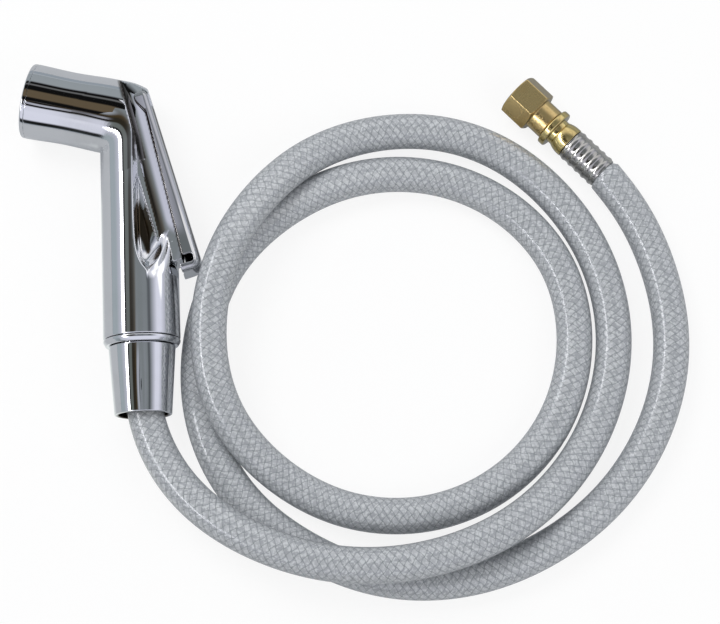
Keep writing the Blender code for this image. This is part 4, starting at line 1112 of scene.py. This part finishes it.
def lever_field(along, side, depth):
    across = np.abs(side)
    back = outline_field(along, depth, LEVER_BACK)
    lean = LEVER_LEAN * np.clip(side_depth(along) - depth, 0.0, 8.0)
    solid = both(back, across - LEVER_HALF + lean, LEVER_EDGE_R)
    solid = both(solid, outline_field(along, depth, LEVER_FRONT), 0.45)
    inside = [
        (-FAR, -FAR), (WEB_START, -FAR), (WEB_START, LEVER_WEB_T), (LOW_SIDE, LEVER_WEB_T),
        (LOW_SIDE, FAR), (-FAR, FAR),
    ]
    channel = both(outline_field(along, depth, inside), across - LEVER_HALF + LEVER_SIDE_T, 0.6)
    solid = without(solid, channel, 0.4)
    windows = np.abs(along - LOW_SIDE) - LEVER_WINDOW / 2
    windows = both(windows, LEVER_WINDOW_DEPTH - depth, 1.2)
    solid = without(solid, windows, 0.35)
    x = LEVER_TOP[0] + along * LEVER_SIN - depth * LEVER_COS
    reach = np.hypot(x - LEVER_SQUEEZE * (LEVER_LEN - PIVOT_DROP), side)
    hollow = np.maximum(reach - HANDLE_R - SWING_GAP, LEVER_END - LEVER_WINDOW / 4 - along)
    return without(solid, hollow, 0.3)


def make_lever():
    down = Vector((LEVER_SIN, 0.0, -LEVER_COS))
    into = Vector((down.z, 0.0, -down.x))
    turn = Matrix((down, into.cross(down), into)).transposed().to_4x4()
    place = HANDSET @ (Matrix.Translation((LEVER_TOP[0], 0.0, LEVER_TOP[1])) @ turn)
    step = 0.3
    low = (0.6 - 3 * step, -LEVER_HALF - 3 * step, -3 * step)
    high = (LEVER_LEN + 3 * step, LEVER_HALF + 3 * step, LEVER_END_DEPTH + 3 * step)
    shell = field_mesh("lever_shell", lever_field, low, high, step, place)
    along, side, depth = local_places(shell, place)
    across = np.abs(side)
    # Painted shade: the sides' lower edges, their outer faces and the back's rounded edges.
    edge = clamp((depth - side_depth(along) + 0.5) / 0.25) * (across > LEVER_HALF - 1.2)
    edge *= (along > WEB_START) & (along < LEVER_END - 2.0)
    face = 0.35 * clamp((across - LEVER_HALF + 1.1) / 0.2)
    back = 0.8 * clamp((0.9 - depth) / 0.5) * (across > LEVER_HALF - 3.0)
    store_painted_shade(shell, np.maximum(np.maximum(0.8 * edge, face), back))
    finish_piece(shell, CHROME, "lever", "chrome", "lever")


# Turned pieces


def rounded(outline, radius, steps=4):
    """The closed outline with each corner rounded, as far as its sides allow."""
    points = [Vector(point) for point in outline]
    count = len(points)
    made = []
    for i, corner in enumerate(points):
        before, after = points[i - 1] - corner, points[(i + 1) % count] - corner
        cut = min(radius, before.length * 0.45, after.length * 0.45)
        start, end = corner + before.normalized() * cut, corner + after.normalized() * cut
        for k in range(steps + 1):
            share = k / steps
            first, second = start.lerp(corner, share), corner.lerp(end, share)
            made.append(first.lerp(second, share))
    return made


def ring_faces(spans, count, total):
    """Quads over the spans between rings of count points. Ring number total is the first again."""
    faces = []
    for i in range(spans):
        here, there = i * count, (i + 1) % total * count
        for k in range(count):
            j = (k + 1) % count
            faces.append((here + k, here + j, there + j, there + k))
    return faces


def turned(name, outline, matrix, edge, steps=128):
    """A closed outline of radius and height turned about Z."""
    section = rounded(outline, edge)
    points = []
    for i in range(steps):
        angle = math.tau * i / steps
        x, y = math.cos(angle), math.sin(angle)
        points += [matrix @ Vector((radius * x, radius * y, height)) for radius, height in section]
    obj = add_mesh(name, points, ring_faces(steps, len(section), steps))
    bm = bmesh.new()
    bm.from_mesh(obj.data)
    bmesh.ops.remove_doubles(bm, verts=bm.verts, dist=1e-6)
    bmesh.ops.recalc_face_normals(bm, faces=bm.faces)
    bm.to_mesh(obj.data)
    bm.free()
    obj.data.shade_smooth()
    return obj


def make_head():
    rim = -BEZEL_T - 0.29
    low = -(LIP_T + SEAT_GAP + SPRAY_T + FLOW_T)
    outline = (
        (BEZEL_R - 0.35, 0.0), (BEZEL_R, -0.4), (BEZEL_R + 0.04, rim), (SKIRT_R, rim),
        (SKIRT_R, low), (SKIRT_IN_R, low), (SKIRT_IN_R, -LIP_T), (LIP_R, -LIP_T),
        (LIP_R, -0.5), (LIP_R + 0.5, 0.0),
    )
    bezel = turned("face_ring", outline, HEAD, 0.3)
    finish_piece(bezel, CHROME, "handset", "chrome", "bezel_ring")


def make_hose_joint():
    bore = SPIGOT_R + SEAT_GAP
    top, low = -COLLAR_TOP, -COLLAR_TOP - COLLAR_T
    outline = (
        (HANDLE_R - 0.1, top), (HANDLE_R, top - 0.5), (HANDLE_R - 0.1, top - 1.1),
        (COLLAR_LOW_R, low + 0.3), (COLLAR_LOW_R - 0.3, low), (bore, low), (bore, top),
    )
    collar = turned("collar_ring", outline, HANDSET, 0.35)
    finish_piece(collar, CHROME, "handset", "chrome", "base_collar")
    low, web = -(NUT_TOP + NUT_LEN), -NUT_WEB_TOP
    outline = (
        (NUT_TOP_R, -NUT_TOP), (NUT_LOW_R, low), (NUT_MOUTH_R, low),
        (NUT_WEB_R + 0.8, web - NUT_WEB_T), (NUT_WEB_R, web - NUT_WEB_T), (NUT_WEB_R, web),
        (bore, web), (bore, -NUT_TOP),
    )
    nut = turned("hose_cone", outline, HANDSET, 0.45)
    x, y, z = local_places(nut, HANDSET)
    # Painted shade inside the cone's mouth, round the hose.
    inside = clamp((NUT_LOW_R - 0.5 - np.hypot(x, y)) / 0.4) * (z < 6.0 + low)
    store_painted_shade(nut, inside)
    finish_piece(nut, CHROME, "hose_nut", "chrome", "cone_nut")
    ferrule = ribbed_sleeve(
        "tail_sleeve", TAIL_FERRULE_TOP, TAIL_FERRULE_LEN, TAIL_CRIMP_R, 2, HANDSET
    )
    finish_piece(ferrule, STEEL, "handset", "steel", "handset_ferrule")


def ribbed_sleeve(name, top, length, crimp_r, ribs, matrix):
    """A crimped tube with round ribs between its squeezed bands and a rolled edge at both ends."""
    inner = crimp_r + SEAT_GAP
    low_r = inner + FERRULE_WALL
    outline = [(low_r, -top)]
    pitch = length / ribs
    for i in range(ribs):
        for share, rise in ((0.2, 0.0), (0.38, 1.0), (0.62, 1.0), (0.8, 0.0)):
            outline.append((low_r + FERRULE_RIB * rise, -top - pitch * (i + share)))
    outline += [(low_r, -top - length), (inner, -top - length), (inner, -top)]
    return turned(name, outline, matrix, 0.6)


# Inlet fitting


def hex_field(x, y, z):
    """Hexagon nut: chamfered corners, a round neck and a threaded mouth. +Z is its open end."""
    flats = HEX_FLATS / 2
    sides = None
    for degrees in (0, 60, 120):
        angle = math.radians(degrees)
        face = np.abs(x * math.cos(angle) + y * math.sin(angle)) - flats
        sides = face if sides is None else both(sides, face, 0.25)
    radius = np.hypot(x, y)
    slope = 0.5  # of the chamfers
    top_cone = (radius - (flats + 0.05) + z / slope) * slope
    low_cone = (radius - (flats + 0.05) - (z + HEX_LEN) / slope) * slope
    solid = both(sides, top_cone, 0.15)
    solid = both(solid, low_cone, 0.15)
    solid = both(solid, z, 0.1)
    solid = both(solid, -z - HEX_LEN, 0.15)
    neck = both(radius - NECK_R, -z - NUT_BACK, 0.4)
    neck = both(neck, z + 2.0, 0.1)
    solid = either(solid, neck, 0.5)
    turn = np.arctan2(y, x) / math.tau
    wave = np.abs(np.mod(z / THREAD_PITCH + turn, 1.0) * 2.0 - 1.0)
    thread = THREAD_BORE_R + 0.1 - THREAD_RISE * clamp(wave * 1.3 - 0.15)
    lead = clamp((z + 1.2) / 1.2) * 0.6
    bore = np.maximum(radius - thread - lead, -z - THREAD_BORE_LEN)
    bore = np.minimum(bore, np.maximum(radius - THREAD_BORE_R, np.abs(z + 10.5) - 1.0))
    solid = both(solid, -bore * 0.8, 0.1)
    return np.maximum(solid, SHANK_R + SEAT_GAP - radius)


def make_inlet():
    step = 0.25
    reach = 10.7
    low, high = (-reach, -reach, -NUT_BACK - 3 * step), (reach, reach, 3 * step)
    nut = field_mesh("inlet_hexagon", hex_field, low, high, step, INLET)
    finish_piece(nut, DULL_BRASS, "supply_nut", "brass", "inlet_nut")
    sleeve = ribbed_sleeve(
        "inlet_sleeve", OGIVE_LOW + SEAT_GAP, INLET_FERRULE_LEN, INLET_CRIMP_R, 5, INLET
    )
    finish_piece(sleeve, STEEL, "handset", "steel", "inlet_ferrule")
    ogive = []
    for i in range(9):
        share = i / 8
        radius = GROOVE_R + (OGIVE_R - GROOVE_R) * math.sin(share * math.pi / 2) ** 0.8
        ogive.append((radius, -OGIVE_TOP - share * 0.75 * (OGIVE_LOW - OGIVE_TOP)))
    top = -(THREAD_BORE_LEN - SEAT_GAP - STEM_HEAD_T)
    head_r = THREAD_BORE_R - SEAT_GAP
    flange_low = -FLANGE_TOP - FLANGE_T
    outline = (
        (head_r, top), (head_r, top - STEM_HEAD_T), (SHANK_R, top - STEM_HEAD_T),
        (SHANK_R, -FLANGE_TOP), (FLANGE_R - 0.3, -FLANGE_TOP), (FLANGE_R, -FLANGE_TOP - 0.5),
        (FLANGE_R, flange_low + 0.5), (FLANGE_R - 0.3, flange_low), (GROOVE_R, flange_low),
        *ogive, (OGIVE_R, -OGIVE_LOW), (BARB_R, -OGIVE_LOW), (BARB_R, -OGIVE_LOW - BARB_LEN),
        (STEM_BORE_R, -OGIVE_LOW - BARB_LEN), (STEM_BORE_R, top),
    )
    stem = turned("inlet_spindle", outline, INLET, 0.35)
    finish_piece(stem, BRASS, "handset", "brass", "inlet_stem")


# Hose


def smooth_line(points, step):
    """Points at even steps along the natural cubic curve through the given ones."""
    points = np.array(points)
    gaps = np.linalg.norm(np.diff(points, axis=0), axis=1)
    knots = np.concatenate(([0.0], np.cumsum(gaps)))
    count = len(points)
    lines = np.eye(count)
    bends = np.zeros((count, 3))
    for i in range(1, count - 1):
        lines[i, i - 1 : i + 2] = (gaps[i - 1], 2 * (gaps[i - 1] + gaps[i]), gaps[i])
        ahead = (points[i + 1] - points[i]) / gaps[i]
        behind = (points[i] - points[i - 1]) / gaps[i - 1]
        bends[i] = 6 * (ahead - behind)
    bends = np.linalg.solve(lines, bends)
    places = np.linspace(0.0, knots[-1], round(knots[-1] / step) + 1)
    i = np.clip(np.searchsorted(knots, places) - 1, 0, count - 2)
    a = ((knots[i + 1] - places) / gaps[i])[:, None]
    b = 1.0 - a
    curve = ((a**3 - a) * bends[i] + (b**3 - b) * bends[i + 1]) * gaps[i][:, None] ** 2 / 6
    return a * points[i] + b * points[i + 1] + curve


def hose_line():
    """Centre line in metres and the hose's radius there, squeezed in under both ferrules."""
    down = -UP_HANDLE
    start = HANDLE_POS + down * HOSE_START * MM
    tail = TAIL_FERRULE_TOP + TAIL_FERRULE_LEN
    sleeve_low = HANDLE_POS + down * tail * MM
    free_start = HANDLE_POS + down * (tail + 2.0) * MM
    end = INLET_POS - INLET_WAY * (OGIVE_LOW + SEAT_GAP) * MM
    sleeve_end = end - INLET_WAY * INLET_FERRULE_LEN * MM
    free_end = end - INLET_WAY * (INLET_FERRULE_LEN + 1.5) * MM
    route = [free_start, *(Vector(point) * MM for point in ROUTE), free_end]
    line = smooth_line(route, 2.5 * MM)
    line[:, 2] = np.maximum(line[:, 2], HOSE_LIE_Z * MM)
    points = [start, sleeve_low, *line, sleeve_end, end]
    radii = [TAIL_CRIMP_R, TAIL_CRIMP_R, *[HOSE_R] * len(line), INLET_CRIMP_R, INLET_CRIMP_R]
    return np.array(points), np.array(radii) * MM


def make_hose():
    """A tube along the route. U goes round it and V along it in circumferences, for the braid."""
    points, radii = hose_line()
    sides = 56
    ways = np.gradient(points, axis=0)
    ways /= np.linalg.norm(ways, axis=1)[:, None]
    across = np.array((0.0, 0.0, 1.0))
    across = across - ways[0] * (across @ ways[0])
    rings = []
    run = [0.0]
    for i, (point, way, radius) in enumerate(zip(points, ways, radii)):
        across = across - way * (across @ way)
        across /= np.linalg.norm(across)
        aside = np.cross(way, across)
        angles = np.linspace(0.0, math.tau, sides, endpoint=False)[:, None]
        rings.append(point + radius * (np.cos(angles) * across + np.sin(angles) * aside))
        if i:
            run.append(run[-1] + np.linalg.norm(point - points[i - 1]))
    laps = [length / (math.tau * HOSE_R * MM) for length in run]
    corners = []
    for v0, v1 in zip(laps, laps[1:]):
        for k in range(sides):
            u0, u1 = k / sides, (k + 1) / sides
            corners += [(u0, v0), (u1, v0), (u1, v1), (u0, v1)]
    corners += [(0.0, 0.0)] * (2 * sides)
    last = (len(rings) - 1) * sides
    faces = ring_faces(len(rings) - 1, sides, len(rings))
    faces += [tuple(range(sides - 1, -1, -1)), tuple(range(last, last + sides))]
    hose = add_mesh("braided_hose", np.concatenate(rings).tolist(), faces)
    layer = hose.data.uv_layers.new(name="braid")
    layer.data.foreach_set("uv", np.array(corners).ravel())
    hose.data.shade_smooth()
    finish_piece(hose, VINYL, "handset", "clear_vinyl", "hose")


# Parts that keep their CAD shape


def refinish(material, *names):
    for name in names:
        for slot in NODES[name].material_slots:
            slot.material = material


make_inlet()
make_hose()
make_handle()
make_lever()
make_head()
make_hose_joint()
refinish(STEEL, "lever_pin", "valve_spring")
refinish(BRASS, "valve_gland", "valve_stem", "hose_tail")
refinish(RUBBER, "face_o_ring", "stem_o_ring", "poppet_washer", "hose_washer", "inlet_washer")
refinish(WHITE_PLASTIC, "spray_plate", "flow_disc", "valve_seat")
